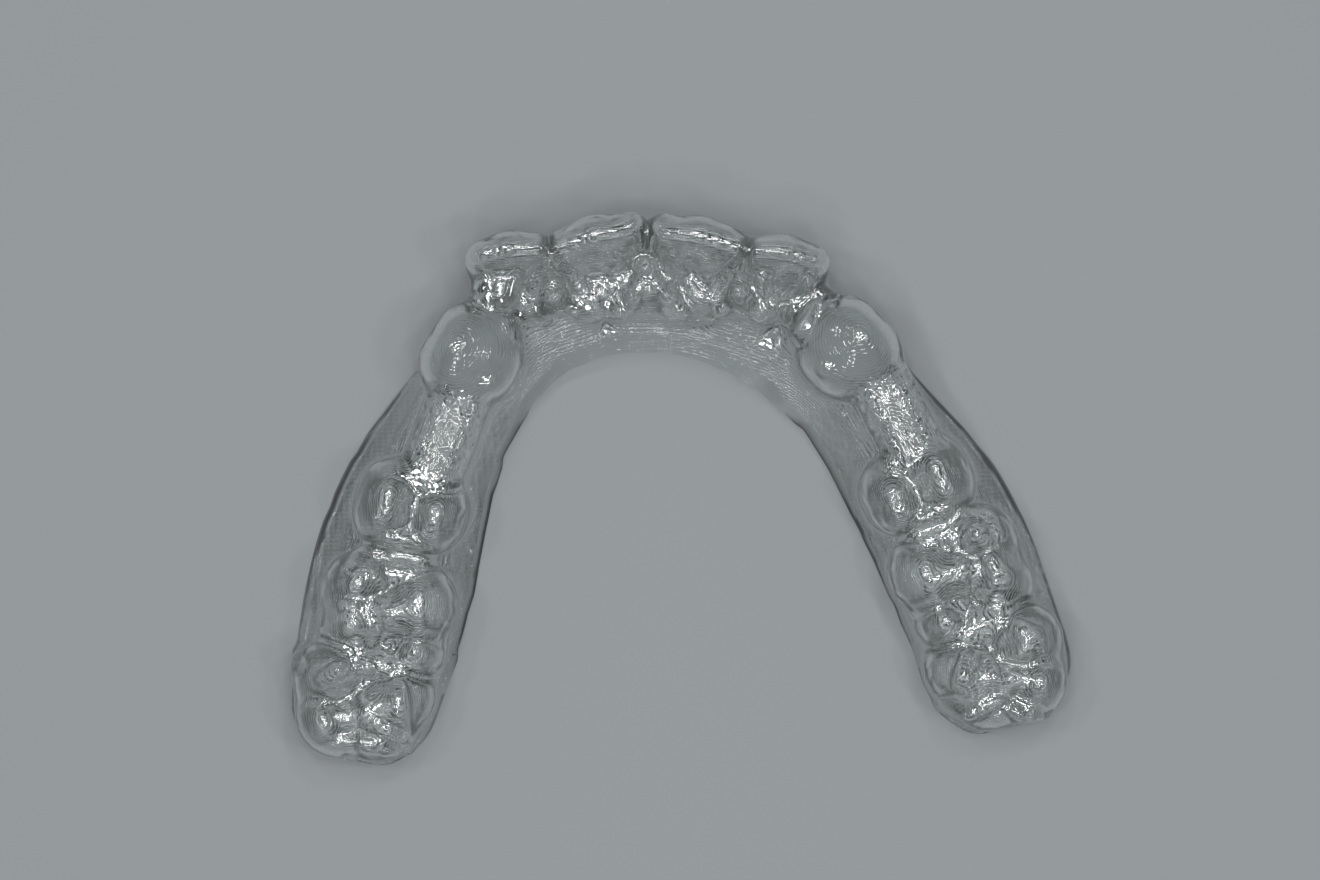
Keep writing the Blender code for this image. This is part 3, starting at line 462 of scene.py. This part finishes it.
def spline(knots, values, at):
    """Natural cubic curve through values at knots."""
    knots, values = np.asarray(knots, float), np.asarray(values, float)
    gap = np.diff(knots)
    rise = np.diff(values, axis=0) / (gap if values.ndim == 1 else gap[:, None])
    system, pull = np.eye(len(knots)), np.zeros_like(values)
    for i in range(1, len(knots) - 1):
        system[i, i - 1 : i + 2] = gap[i - 1], 2 * (gap[i - 1] + gap[i]), gap[i]
        pull[i] = 6 * (rise[i] - rise[i - 1])
    bend = np.linalg.solve(system, pull)
    i = np.clip(np.searchsorted(knots, at) - 1, 0, len(knots) - 2)
    ahead, behind, width = knots[i + 1] - at, at - knots[i], gap[i]
    if values.ndim > 1:
        ahead, behind, width = ahead[:, None], behind[:, None], width[:, None]
    return (
        bend[i] * ahead**3 / (6 * width)
        + bend[i + 1] * behind**3 / (6 * width)
        + (values[i] / width - bend[i] * width / 6) * ahead
        + (values[i + 1] / width - bend[i + 1] * width / 6) * behind
    )


def capsule_distance(points, start, end):
    """Distance of points, in plan or in space, to the stretch from start to end."""
    run = end - start
    share = np.clip((points - start) @ run / max(float(run @ run), 1e-12), 0, 1)
    return np.linalg.norm(points - start - share[:, None] * run, axis=1)


class Arch:
    """The arch line by its length, with its direction and its outward side in plan."""

    def __init__(self, points):
        points = np.array(points)
        chords = np.linalg.norm(np.diff(points, axis=0), axis=1)
        knots = np.concatenate([[0.0], np.cumsum(chords)])
        self.fine = np.linspace(0, knots[-1], 4000)
        self.line = spline(knots, points, self.fine)
        steps = np.linalg.norm(np.diff(self.line, axis=0), axis=1)
        self.length = np.concatenate([[0.0], np.cumsum(steps)])
        self.midline = np.interp(knots[len(points) // 2], self.fine, self.length)
        self.heading = np.gradient(self.line, self.length, axis=0)

    def nearest(self, point):
        """Length along the arch of the place nearest to a point in plan."""
        return self.length[np.argmin(np.linalg.norm(self.line - point, axis=1))]

    def at(self, s):
        """Place, direction along the arch and direction outwards, at lengths s."""
        s = np.asarray(s, float)
        inside = np.clip(s, 0, self.length[-1])
        place = np.stack([np.interp(inside, self.length, self.line[:, k]) for k in (0, 1)], -1)
        along = np.stack([np.interp(inside, self.length, self.heading[:, k]) for k in (0, 1)], -1)
        along /= np.linalg.norm(along, axis=-1, keepdims=True)
        place += along * (s - inside)[..., None]
        outward = np.stack([-along[..., 1], along[..., 0]], -1)
        return place, along, outward


class Crown:
    """One crown, or one bar, of the cast, placed on the arch."""

    def __init__(self, arch, form, s, mesial_sign, size, placing):
        width, depth, height = size
        slide, shift, turn = placing
        place, along, outward = arch.at(s)
        angle = np.radians(turn)
        mesial, facial = along * mesial_sign, outward
        self.form, self.s = form, s
        self.centre = place + (mesial * slide + facial * shift) * MM
        self.mesial = mesial * np.cos(angle) + facial * np.sin(angle)
        self.facial = facial * np.cos(angle) - mesial * np.sin(angle)
        self.half = np.array([width / 2, depth / 2])
        self.height = height
        self.reach = width / 2 + FIRST_MOLAR_WIDTH / 2

    def distance_to(self, x, y, start, end):
        """Distance in plan to the stretch from start to end, and how far along it the nearest point is."""
        a, b = np.array(start[:2]) * self.half, np.array(end[:2]) * self.half
        run = b - a
        length = max(float(run @ run), 1e-12)
        share = np.clip(((x - a[0]) * run[0] + (y - a[1]) * run[1]) / length, 0, 1)
        return np.hypot(x - a[0] - share * run[0], y - a[1] - share * run[1]), share

    def biting_height(self, x, y):
        """Height of the cusps and ridges over a place in plan."""
        top = None
        soften = TIP_ROUND * self.form.tip_round
        for start, end in self.form.ridges:
            away, share = self.distance_to(x, y, start, end)
            crest = self.height * (1 - start[2] - (end[2] - start[2]) * share)
            falling = crest - self.form.slope * (np.hypot(away, soften) - soften)
            top = falling if top is None else smooth_max(top, falling, GROOVE_BLEND)
        return smooth_max(top, self.height * (1 - self.form.floor), FLOOR_BLEND)

    def field(self, points):
        """Signed distance, roughly, to this crown."""
        form = self.form
        flat = points[:, :2] - self.centre
        x, y, z = flat @ self.mesial, flat @ self.facial, points[:, 2]
        y = y - form.lean * (z - self.height / 2)
        rise = np.clip((z - NECK_HEIGHT) / (self.height - NECK_HEIGHT), -0.5, 1.1)
        swell_y = 1 - form.waist * np.clip(rise - WIDEST_ACROSS, 0, None) ** 2 / TOP_ACROSS
        swell_y = swell_y - form.pinch * np.clip(WIDEST_ACROSS - rise, 0, None)
        swell_x = 1 - NARROW_ALONG * form.waist * np.clip(rise - WIDEST_ALONG, 0, None) ** 2 / TOP_ALONG
        swell_x = swell_x - NECK_ALONG * form.pinch * np.clip(WIDEST_ALONG - rise, 0, None)
        radius_scale = self.half.mean() if form is not BAR else self.half[1]
        side = None
        for start, end, radius in form.lobes:
            away, _ = self.distance_to(x / swell_x, y / swell_y, start, end)
            wall = away - radius * radius_scale
            side = wall if side is None else smooth_min(side, wall, LOBE_BLEND)
        side = side * np.minimum(swell_x, swell_y)
        top = (z - self.biting_height(x, y)) / np.hypot(1, form.slope)
        return smooth_max(side, top, SHOULDER_BLEND * form.shoulder)


class Cast:
    """The whole cast: crowns, bars and gum, as one field."""

    def __init__(self):
        self.arch = Arch(ARCH_POINTS)
        self.crowns, stations = [], {-1: [], 1: []}
        for sign, placings in ((-1, RIGHT_PLACES), (1, LEFT_PLACES)):
            walked = 0.0
            for (form, *size), placing in zip(SIDE, placings):
                s = self.arch.midline + sign * (walked + size[0] / 2)
                self.crowns.append(Crown(self.arch, form, s, -sign, size, placing))
                stations[sign].append(s)
                walked += size[0]
        self.knots = np.array(stations[-1][::-1] + stations[1])
        self.start, self.end = self.knots[0], self.knots[-1]
        self.webs = self.find_webs()
        self.relief = self.place_relief()

    def find_webs(self):
        """The bridges of plastic across the contacts: two ends and the place on the arch of each."""
        row = sorted(self.crowns, key=lambda crown: crown.s)
        found = []
        for a, b in zip(row, row[1:]):
            if a.form is BAR or b.form is BAR:
                continue
            middle = (a.centre * b.half[0] + b.centre * a.half[0]) / (a.half[0] + b.half[0])
            across = a.facial + b.facial
            across *= WEB_SHARE * min(a.half[1], b.half[1]) / np.linalg.norm(across)
            height = WEB_HEIGHT * min(a.height, b.height)
            ends = [np.array([*(middle + sign * across), height]) for sign in (-1, 1)]
            found.append((ends[0], ends[1], (a.s + b.s) / 2))
            if INCISOR in (a.form, b.form):
                # The papilla runs down from the contact to the palate
                foot = np.array([*(middle - PAPILLA_REACH * across), PAPILLA_FOOT])
                found.append((ends[0], foot, (a.s + b.s) / 2))
        return found

    def place_relief(self):
        """The fine relief in metres, with the place on the arch and the reach along it of each stretch."""
        found = []
        for x0, y0, x1, y1, radius, depth in np.array(RELIEF) * MM:
            first, second = np.array([x0, y0]), np.array([x1, y1])
            reach = FAN_SPREAD * (2.5 * radius + np.linalg.norm(second - first) / 2)
            place_s = np.clip(self.arch.nearest((first + second) / 2), self.start, self.end)
            found.append((first, second, place_s, reach, radius, depth))
        return found

    def along(self, values, s):
        """A size given per tooth from the midline back, for both sides or each, smoothed along the arch."""
        right, left = values if isinstance(values[0], tuple) else (values, values)
        both = np.array(right[::-1] + left)
        return np.maximum(spline(self.knots, both, np.clip(s, self.start, self.end)), 0.0)

    def gum(self, s, across, height):
        """The ridge under the crowns: a slope to the cheek, a slope to the palate and a rounded top."""
        top = self.along(GUM_HEIGHT, s)
        cheek_foot, cheek_top = self.along(CHEEK_REACH, s), self.along(CHEEK_SHELF, s)
        palate_foot, palate_top = self.along(PALATE_REACH, s), self.along(PALATE_SHELF, s)
        cheek_rim, palate_rim = self.along(CHEEK_RIM, s), self.along(PALATE_RIM, s)
        cheek_slope = (cheek_foot - cheek_top) / (top - cheek_rim)
        palate_slope = (palate_foot - palate_top) / (top - palate_rim)
        cheek = (across - cheek_foot + cheek_slope * (height - cheek_rim)) / np.hypot(1, cheek_slope)
        palate = (-across - palate_foot + palate_slope * (height - palate_rim)) / np.hypot(1, palate_slope)
        sides = smooth_max(cheek, palate, GUM_BLEND)
        return smooth_max(sides, height - top, GUM_BLEND)

    def block(self, points):
        """The bonded block, a short upright bar with rounded ends."""
        x, y = points[:, 0] - BLOCK_MIDDLE[0], points[:, 1] - BLOCK_MIDDLE[1]
        cos, sin = np.cos(np.radians(BLOCK_TURN)), np.sin(np.radians(BLOCK_TURN))
        along, aside = x * cos + y * sin, y * cos - x * sin
        side = np.hypot(np.clip(np.abs(along) - BLOCK_HALF_LENGTH, 0, None), aside) - BLOCK_HALF_WIDTH
        return smooth_max(side, points[:, 2] - BLOCK_HEIGHT, BLOCK_BLEND)

    def field(self, points, s, across, beyond, core_height, core_offset):
        """The union at points, whose place along, across and beyond the ends of the arch is known."""
        height = points[:, 2]
        ridge = self.gum(s, across, height)
        lift = END_SLOPE * (height - END_RIM)
        past_end = beyond - np.minimum(s - self.start, self.end - s)
        for side, corner in ((1, CHEEK_CORNER), (-1, PALATE_CORNER)):
            cut = CORNER_ENDWARD * past_end + CORNER_SIDEWARD * side * across - corner
            ridge = smooth_max(ridge, cut + lift, END_BLEND)
        ridge = smooth_max(ridge, past_end - END_REACH + lift, END_BLEND)
        found = smooth_min(
            ridge,
            np.sqrt((across - core_offset) ** 2 + (height - core_height) ** 2 + beyond**2) - CORE_RADIUS,
            EMBRASURE_BLEND,
        )
        found = smooth_min(found, self.block(points), BLOCK_BLEND)
        for crown in self.crowns:
            near = np.abs(s - crown.s) < crown.reach
            if near.any():
                blend = EMBRASURE_BLEND * crown.form.union
                found[near] = smooth_min(found[near], crown.field(points[near]), blend)
        for first, second, place_s in self.webs:
            near = np.abs(s - place_s) < WEB_REACH
            if near.any():
                web = capsule_distance(points[near], first, second) - WEB_RADIUS
                found[near] = smooth_min(found[near], web, WEB_BLEND)
        for first, second, place_s, reach, radius, depth in self.relief:
            near = np.abs(s - place_s) < reach
            if near.any():
                away = capsule_distance(points[near, :2], first, second)
                found[near] += depth * np.exp(-((away / radius) ** 2))
        return found


class Sheet:
    """A grid of rays from the core of the arch outwards, over which the wall is drawn."""

    def __init__(self, cast, stations, rows, end_stations):
        self.cast, self.shape = cast, (stations, rows)
        inner = stations - 2 * end_stations
        s = np.concatenate([
            np.full(end_stations, cast.start),
            np.linspace(cast.start, cast.end, inner),
            np.full(end_stations, cast.end),
        ])
        wrap = np.concatenate([
            np.linspace(1, 0, end_stations, endpoint=False),
            np.zeros(inner),
            np.linspace(0, 1, end_stations + 1)[1:],
        ])
        end_sign = np.concatenate([-np.ones(end_stations), np.zeros(inner), np.ones(end_stations)])
        q = np.linspace(-1, 1, rows)
        self.s = np.repeat(s, rows)
        wrap, end_sign, q = np.repeat(wrap, rows), np.repeat(end_sign, rows), np.tile(q, stations)
        # The square end of the grid is turned on to a half disc
        sideways = -q * np.sqrt(1 - wrap**2 / 2)
        endways = wrap * np.sqrt(1 - q**2 / 2)
        self.share = np.hypot(sideways, endways)
        safe = np.maximum(self.share, 1e-9)
        self.sin_side, self.sin_end = sideways / safe, endways / safe
        self.place_rays(end_sign)

    def place_rays(self, end_sign):
        cast, s = self.cast, self.s
        place, along, outward = cast.arch.at(s)
        fan = np.clip(self.share / FAN_SHARE, 0, 1)
        drop = np.clip((self.share - FAN_SHARE) / (1 - FAN_SHARE), 0, 1)
        cheekward = np.clip(self.sin_side, 0, None) ** 2
        palateward = np.clip(-self.sin_side, 0, None) ** 2
        endward = self.sin_end**2
        self.core_height = cast.along(CORE_HEIGHT, s)
        self.core_offset = cast.along(CORE_OFFSET, s)
        rim = cheekward * cast.along(CHEEK_RIM, s) + palateward * cast.along(PALATE_RIM, s)
        rim = rim + endward * END_RIM
        side_core = np.where(self.sin_side > 0, cast.along(CORE_CHEEK, s), cast.along(CORE_PALATE, s))
        rim = rim + self.trim_wander(end_sign)
        base_side = self.core_offset + side_core * self.sin_side * fan
        base_end = END_CORE * self.sin_end * fan
        base_height = self.core_height + (rim - self.core_height) * drop
        tilt = fan * np.pi / 2
        self.base = np.stack([base_side, base_end, base_height], -1)
        self.way = np.stack([np.sin(tilt) * self.sin_side, np.sin(tilt) * self.sin_end, np.cos(tilt)], -1)
        self.outward, self.endward = outward, along * end_sign[:, None]
        self.place = place

    def trim_wander(self, end_sign):
        """How far the scissors rose above the trim line: short straight cuts round the edge."""
        round_end = self.s + end_sign * self.sin_end * self.share * END_REACH * 2
        rng = np.random.default_rng(7)
        found = np.zeros(len(self.s))
        behind_front = np.clip(np.abs(self.s - self.cast.arch.midline) / FRONT_REACH - 1, 0, 1)
        for side, most in ((1, CHEEK_CUTS), (-1, PALATE_CUTS)):
            knots = np.cumsum(rng.uniform(CUT_SHORTEST, CUT_LONGEST, CUT_COUNT)) * MM + CUTS_START
            cuts = np.interp(round_end, knots, rng.uniform(0, 1, len(knots)) ** 2)
            found += most * cuts * behind_front * np.clip(0.5 + side * self.sin_side, 0, 1)
        return found

    def points(self, reach):
        """World points at these distances along the rays, and their coordinates on the arch."""
        local = self.base + self.way * reach[:, None]
        flat = self.place + self.outward * local[:, :1] + self.endward * local[:, 1:2]
        return np.column_stack([flat, local[:, 2]]), local

    def draw(self, clearance):
        """Pushes the sheet in along its rays until it lies this far off the cast."""
        reach = np.full(len(self.s), FAR)
        for _ in range(DRAW_STEPS):
            world, local = self.points(reach)
            across, beyond = local[:, 0], local[:, 1]
            field = self.cast.field(world, self.s, across, beyond, self.core_height, self.core_offset)
            reach = np.maximum(reach - RELAX * (field - clearance), NEAREST)
        return self.points(reach)[0]


def add_face(bm, sheet, points, marks, outside):
    """One face of the wall: a grid laid on to the drawn points. Returns its border edges."""
    layers = [bm.verts.layers.float[name] for name in MARKS]
    stations, rows = sheet.shape
    made = bmesh.ops.create_grid(bm, x_segments=stations - 1, y_segments=rows - 1, size=0.5)
    for vert in made["verts"]:
        column = round((vert.co.x + 0.5) * (stations - 1))
        row = round((vert.co.y + 0.5) * (rows - 1))
        vert.co = points[column * rows + row]
        for layer, mark in zip(layers, marks):
            vert[layer] = mark[column * rows + row]
    faces = list({face for vert in made["verts"] for face in vert.link_faces})
    if outside:
        bmesh.ops.reverse_faces(bm, faces=faces)
    return [edge for edge in {e for face in faces for e in face.edges} if edge.is_boundary]


def surface_marks(cast, sheet, points, outside):
    """The marks of each point of one face, in the order of MARKS."""
    grid = points.reshape(*sheet.shape, 3)
    normal = np.cross(np.gradient(grid, axis=0), np.gradient(grid, axis=1)).reshape(-1, 3)
    up = np.abs(normal[:, 2]) / np.maximum(np.linalg.norm(normal, axis=1), 1e-18)
    tilt = np.sqrt(1 - np.minimum(up, 1.0) ** 2) / np.maximum(up, LEAST_UP)
    frost = np.clip((sheet.share - RIM_SHARE) / RIM_FADE, 0, 1)
    frost = frost * np.clip(2 * np.abs(sheet.sin_end) - 0.6, 0.05, 0.9)
    lines = np.full(len(points), 1.0)
    for crown in cast.crowns:
        flat = points[:, :2] - crown.centre
        if crown.form is CANINE:
            lines -= CANINE_SMOOTH * np.clip(4 - 3 * np.hypot(*flat.T) / crown.half.max(), 0, 1)
        if crown.form is BAR:
            x, y = flat @ crown.mesial / crown.half[0], flat @ crown.facial / crown.half[1]
            on_bar = np.clip(4 - 4 * np.abs(y), 0, 1) * np.clip((BAR_END - np.abs(x)) * 4, 0, 1)
            frost = np.maximum(frost, on_bar * (points[:, 2] > crown.height * BAR_TOP))
    if not outside:
        return tilt, frost, lines, np.zeros(len(points))
    return tilt, frost, lines * OUTER_SHARPNESS, paint_edge_shade(cast, sheet, grid)


def paint_edge_shade(cast, sheet, grid):
    """Painted shade behind the canines: a dark band of uneven width along the cut edge, for its shadow and
    dark reflection.
    """
    columns = sheet.s.reshape(sheet.shape)
    behind = np.abs(columns - cast.arch.midline) / (cast.end - cast.arch.midline)
    rng = np.random.default_rng(11)
    places = np.linspace(cast.start, cast.end, EDGE_STRETCHES)
    uneven = np.interp(columns, places, rng.uniform(EDGE_THINNEST, EDGE_THICKEST, EDGE_STRETCHES))
    found = np.zeros(sheet.shape)
    for row, (width, first, last) in ((0, CHEEK_EDGE_SHADE), (-1, TONGUE_EDGE_SHADE)):
        off = grid - grid[:, row, None]
        off = np.maximum(np.hypot(off[:, :, 0], off[:, :, 1]), EDGE_RISE * off[:, :, 2])
        stretch = np.clip((behind - first) / EDGE_GROWS, 0, 1)
        stretch = stretch * np.clip((last - behind) / EDGE_SHRINKS, 0, 1)
        found = np.maximum(found, np.clip((width * uneven * stretch - off) / EDGE_FADE, 0, 1))
    return found.ravel()


def aligner_shell():
    """Draws both faces of the sheet, lays them into the solid's box and joins them round the cut edge."""
    cast = Cast()
    sheet = Sheet(cast, STATIONS, ROWS, END_STATIONS)
    fitting, outer = sheet.draw(0.0), sheet.draw(WALL)
    # The face that lay on the cast took up its print lines, and the outer one only a trace of them
    fitting_marks = surface_marks(cast, sheet, fitting, outside=False)
    outer_marks = surface_marks(cast, sheet, outer, outside=True)
    middle = (outer[:, :2].min(axis=0) + outer[:, :2].max(axis=0)) / 2
    low, high = (np.array(corner) for corner in cad_box)
    fit = np.minimum(1.0, (high - low) / (outer.max(axis=0) - outer.min(axis=0) * (1, 1, 0)))
    for points in (fitting, outer):
        points[:, :2] -= middle
        points *= fit
    bm = bmesh.new()
    for name in MARKS:
        bm.verts.layers.float.new(name)
    border = add_face(bm, sheet, fitting, fitting_marks, outside=False)
    border += add_face(bm, sheet, outer, outer_marks, outside=True)
    # On the tongue side the cut is square, and elsewhere the blade has rolled it
    for edge in border:
        x, y, z = (edge.verts[0].co + edge.verts[1].co) / (2 * MM)
        edge.smooth = np.hypot(x / TONGUE_HALF_WIDTH, (y + TONGUE_BACK) / TONGUE_HALF_LENGTH) > 1
    bmesh.ops.bridge_loops(bm, edges=border)
    bmesh.ops.recalc_face_normals(bm, faces=bm.faces[:])
    mesh = bpy.data.meshes.new("aligner_shell")
    bm.to_mesh(mesh)
    bm.free()
    mesh.shade_smooth()
    shell = bpy.data.objects.new("aligner_shell", mesh)
    bpy.context.scene.collection.objects.link(shell)
    return shell


class Nodes:
    """Short ways to add and join the nodes of one material."""

    def __init__(self, material):
        material.use_nodes = True
        self.tree = material.node_tree
        self.tree.nodes.clear()

    def add(self, kind, settings=None, **inputs):
        made = self.tree.nodes.new(kind)
        for name, value in (settings or {}).items():
            setattr(made, name, value)
        for name, value in inputs.items():
            socket = made.inputs[int(name[1:]) if name[1:].isdigit() else name.replace("_", " ")]
            if isinstance(value, bpy.types.NodeSocket):
                self.tree.links.new(value, socket)
            else:
                socket.default_value = value
        return made

    def math(self, operation, a, b=0.0, clamp=False):
        return self.add("ShaderNodeMath", dict(operation=operation, use_clamp=clamp), i0=a, i1=b).outputs[0]

    def mark(self, name):
        """One of the MARKS that the sheet carries."""
        return self.add("ShaderNodeAttribute", dict(attribute_name=name)).outputs["Fac"]

    def noise(self, place, scale, detail=0.0):
        return self.add("ShaderNodeTexNoise", Vector=place, Scale=scale, Detail=detail).outputs["Fac"]

    def spread(self, value, low, high, first, last, kind="LINEAR"):
        """Takes values from low to high on to values from first to last."""
        inputs = dict(Value=value, From_Min=low, From_Max=high, To_Min=first, To_Max=last)
        return self.add("ShaderNodeMapRange", dict(interpolation_type=kind), **inputs).outputs[0]

    def blend(self, share, first, last):
        """A colour between two."""
        return self.add("ShaderNodeMix", dict(data_type="RGBA"), i0=share, i6=first, i7=last).outputs[2]


def printed_layers(nodes, place, tilt, patches):
    """Height of the print lines left in the sheet, in layers: flat treads and risers of one width."""
    axes = nodes.add("ShaderNodeSeparateXYZ", i0=place)
    # The dots of the printer's screen and a little waver bend the level lines
    across = nodes.math("PINGPONG", axes.outputs[0], DOT_LENGTH / 2)
    along = nodes.math("PINGPONG", axes.outputs[1], DOT_WIDTH / 2)
    across = nodes.math("DIVIDE", across, DOT_LENGTH / 2)
    dots = nodes.math("MULTIPLY", across, nodes.math("DIVIDE", along, DOT_WIDTH / 2))
    waver = nodes.noise(place, WAVER_SCALE, detail=1.0)
    level = nodes.math("ADD", axes.outputs[2], nodes.math("MULTIPLY", dots, DOT_RISE))
    level = nodes.math("ADD", level, nodes.math("MULTIPLY", waver, WAVER))
    step = nodes.math("FRACT", nodes.math("DIVIDE", level, LAYER))
    share = nodes.math("MINIMUM", nodes.math("MULTIPLY", tilt, 0.5 * RISER / LAYER), 0.5)
    share = nodes.math("MAXIMUM", share, NARROWEST_RISER)
    foot, head = nodes.math("SUBTRACT", 0.5, share), nodes.math("ADD", 0.5, share)
    riser = nodes.spread(step, foot, head, 0.0, 1.0, kind="SMOOTHSTEP")
    # The treads lean by TREAD where the surface leans more, and steep walls carry no lines
    amount = nodes.math("SUBTRACT", 1.0, nodes.math("DIVIDE", TREAD, tilt), clamp=True)
    steep = nodes.math("POWER", nodes.math("DIVIDE", tilt, STEEP), 4.0)
    amount = nodes.math("DIVIDE", amount, nodes.math("ADD", 1.0, steep))
    lines = nodes.math("MULTIPLY", nodes.math("SUBTRACT", riser, step), amount)
    # The dots are deepest where the sheet lies flat
    leaning = nodes.math("ADD", 1.0, nodes.math("MULTIPLY", tilt, 4.0))
    flat_dots = nodes.math("MULTIPLY", dots, nodes.math("DIVIDE", DOT_DEPTH / LAYER, leaning))
    return nodes.math("ADD", lines, nodes.math("MULTIPLY", flat_dots, patches))


def clear_plastic():
    """Clear sheet, faintly grey-green, with the cast's print lines in it and frost on bars and cut edge."""
    material = bpy.data.materials.new("sheet_plastic")
    nodes = Nodes(material)
    place = nodes.add("ShaderNodeTexCoord").outputs["Object"]
    tilt, frost = nodes.mark("tilt"), nodes.mark("frost")
    # The sheet took up the cast sharply in some patches and ran smooth over others
    patches = nodes.noise(place, PATCH_SCALE, detail=2.0)
    sharp = nodes.spread(patches, *SHARP_PATCHES)
    height = printed_layers(nodes, place, tilt, sharp)
    peel = nodes.math("MULTIPLY", sharp, PEEL / LAYER)
    peel = nodes.math("MULTIPLY", nodes.noise(place, PEEL_SCALE), peel)
    height = nodes.math("MULTIPLY", nodes.math("ADD", height, peel), nodes.mark("print"))
    grain = nodes.math("MULTIPLY", frost, GRAIN / LAYER)
    height = nodes.math("ADD", height, nodes.math("MULTIPLY", nodes.noise(place, GRAIN_SCALE), grain))
    relief = nodes.add("ShaderNodeBump", Strength=1.0, Distance=LAYER, Height=height).outputs[0]
    haze = nodes.spread(patches, *HAZY_PATCHES)
    haze = nodes.math("ADD", haze, nodes.math("MULTIPLY", frost, FROST_HAZE))
    plastic = nodes.add(
        "ShaderNodeBsdfPrincipled",
        # Painted shade: the edge mark darkens the colour to near black along the cut edge, for its shadow and
        # dark reflection
        Base_Color=nodes.blend(nodes.mark("edge"), PLASTIC, PAINTED_EDGE_SHADE),
        # Steep walls are seen through more plastic, and look milky
        Transmission_Weight=nodes.spread(tilt, *CLEARNESS),
        IOR=1.57,
        Specular_IOR_Level=1.0,
        Coat_Weight=0.6,
        Coat_Roughness=0.04,
        Coat_IOR=1.6,
        Roughness=haze,
        Normal=relief,
        Coat_Normal=relief,
    ).outputs[0]
    # Light from the lamps and off the table passes the sheet straight
    path = nodes.add("ShaderNodeLightPath").outputs
    facing = nodes.add("ShaderNodeLayerWeight", Blend=0.5).outputs["Facing"]
    shade = nodes.blend(nodes.math("POWER", facing, GRAZING_POWER), SQUARE_SHADE, GRAZING_SHADE)
    clear = nodes.add("ShaderNodeBsdfTransparent", Color=shade).outputs[0]
    seen = plastic
    for ray in ("Is Shadow Ray", "Is Diffuse Ray"):
        seen = nodes.add("ShaderNodeMixShader", Fac=path[ray], i1=seen, i2=clear).outputs[0]
    nodes.add("ShaderNodeOutputMaterial", Surface=seen)
    return material


def table_top():
    """A plain table far wider than the view, a hair below the rim."""
    bm = bmesh.new()
    bmesh.ops.create_grid(bm, x_segments=1, y_segments=1, size=TABLE_HALF_SIZE)
    bmesh.ops.translate(bm, verts=bm.verts[:], vec=(0, 0, -TABLE_DROP))
    mesh = bpy.data.meshes.new("table_top")
    bm.to_mesh(mesh)
    bm.free()
    top = bpy.data.objects.new("table_top", mesh)
    bpy.context.scene.collection.objects.link(top)
    material = bpy.data.materials.new("table_paint")
    nodes = Nodes(material)
    paint = nodes.add("ShaderNodeBsdfPrincipled", Base_Color=TABLE_COLOUR, Roughness=0.8).outputs[0]
    nodes.add("ShaderNodeOutputMaterial", Surface=paint)
    mesh.materials.append(material)
    return top


def softbox(number, turn, out, size, power):
    """A square soft light on its ring, aimed at the part."""
    light = bpy.data.lights.new("softbox_%d" % number, "AREA")
    light.shape = "SQUARE"
    light.size = size
    light.energy = power
    lamp = bpy.data.objects.new(light.name, light)
    place = (out * np.cos(np.radians(turn)), out * np.sin(np.radians(turn)), LIGHT_HEIGHT)
    lamp.location = place
    lamp.rotation_euler = (-Vector(place)).to_track_quat("-Z", "Y").to_euler()
    bpy.context.scene.collection.objects.link(lamp)


shell = aligner_shell()
shell.data.materials.append(clear_plastic())
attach(shell, "root")
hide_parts("aligner")
table_top()

for k, (turn, out, power) in enumerate(OUTER_RING):
    softbox(k + 1, turn, out, OUTER_SIZE, power)
for k in range(len(OUTER_RING)):
    turn, out = INNER_START + k * INNER_STEP, INNER_OUT[k % 2]
    softbox(len(OUTER_RING) + k + 1, turn, out, INNER_SIZE, INNER_POWER)

world = bpy.data.worlds.new("studio")
world.use_nodes = True
sky = world.node_tree.nodes["Background"].inputs
sky["Color"].default_value, sky["Strength"].default_value = SKY_COLOUR, SKY_STRENGTH
bpy.context.scene.world = world

camera = bpy.data.cameras.new("camera")
camera.sensor_width = CAMERA_SENSOR
camera.lens = CAMERA_LENS
camera.clip_start = CAMERA_NEAR
viewer = bpy.data.objects.new("camera", camera)
viewer.location = CAMERA_PLACE
viewer.rotation_euler = (0.0, 0.0, np.radians(CAMERA_TURN))
bpy.context.scene.collection.objects.link(viewer)
bpy.context.scene.camera = viewer
bpy.context.scene.view_settings.view_transform = "Standard"
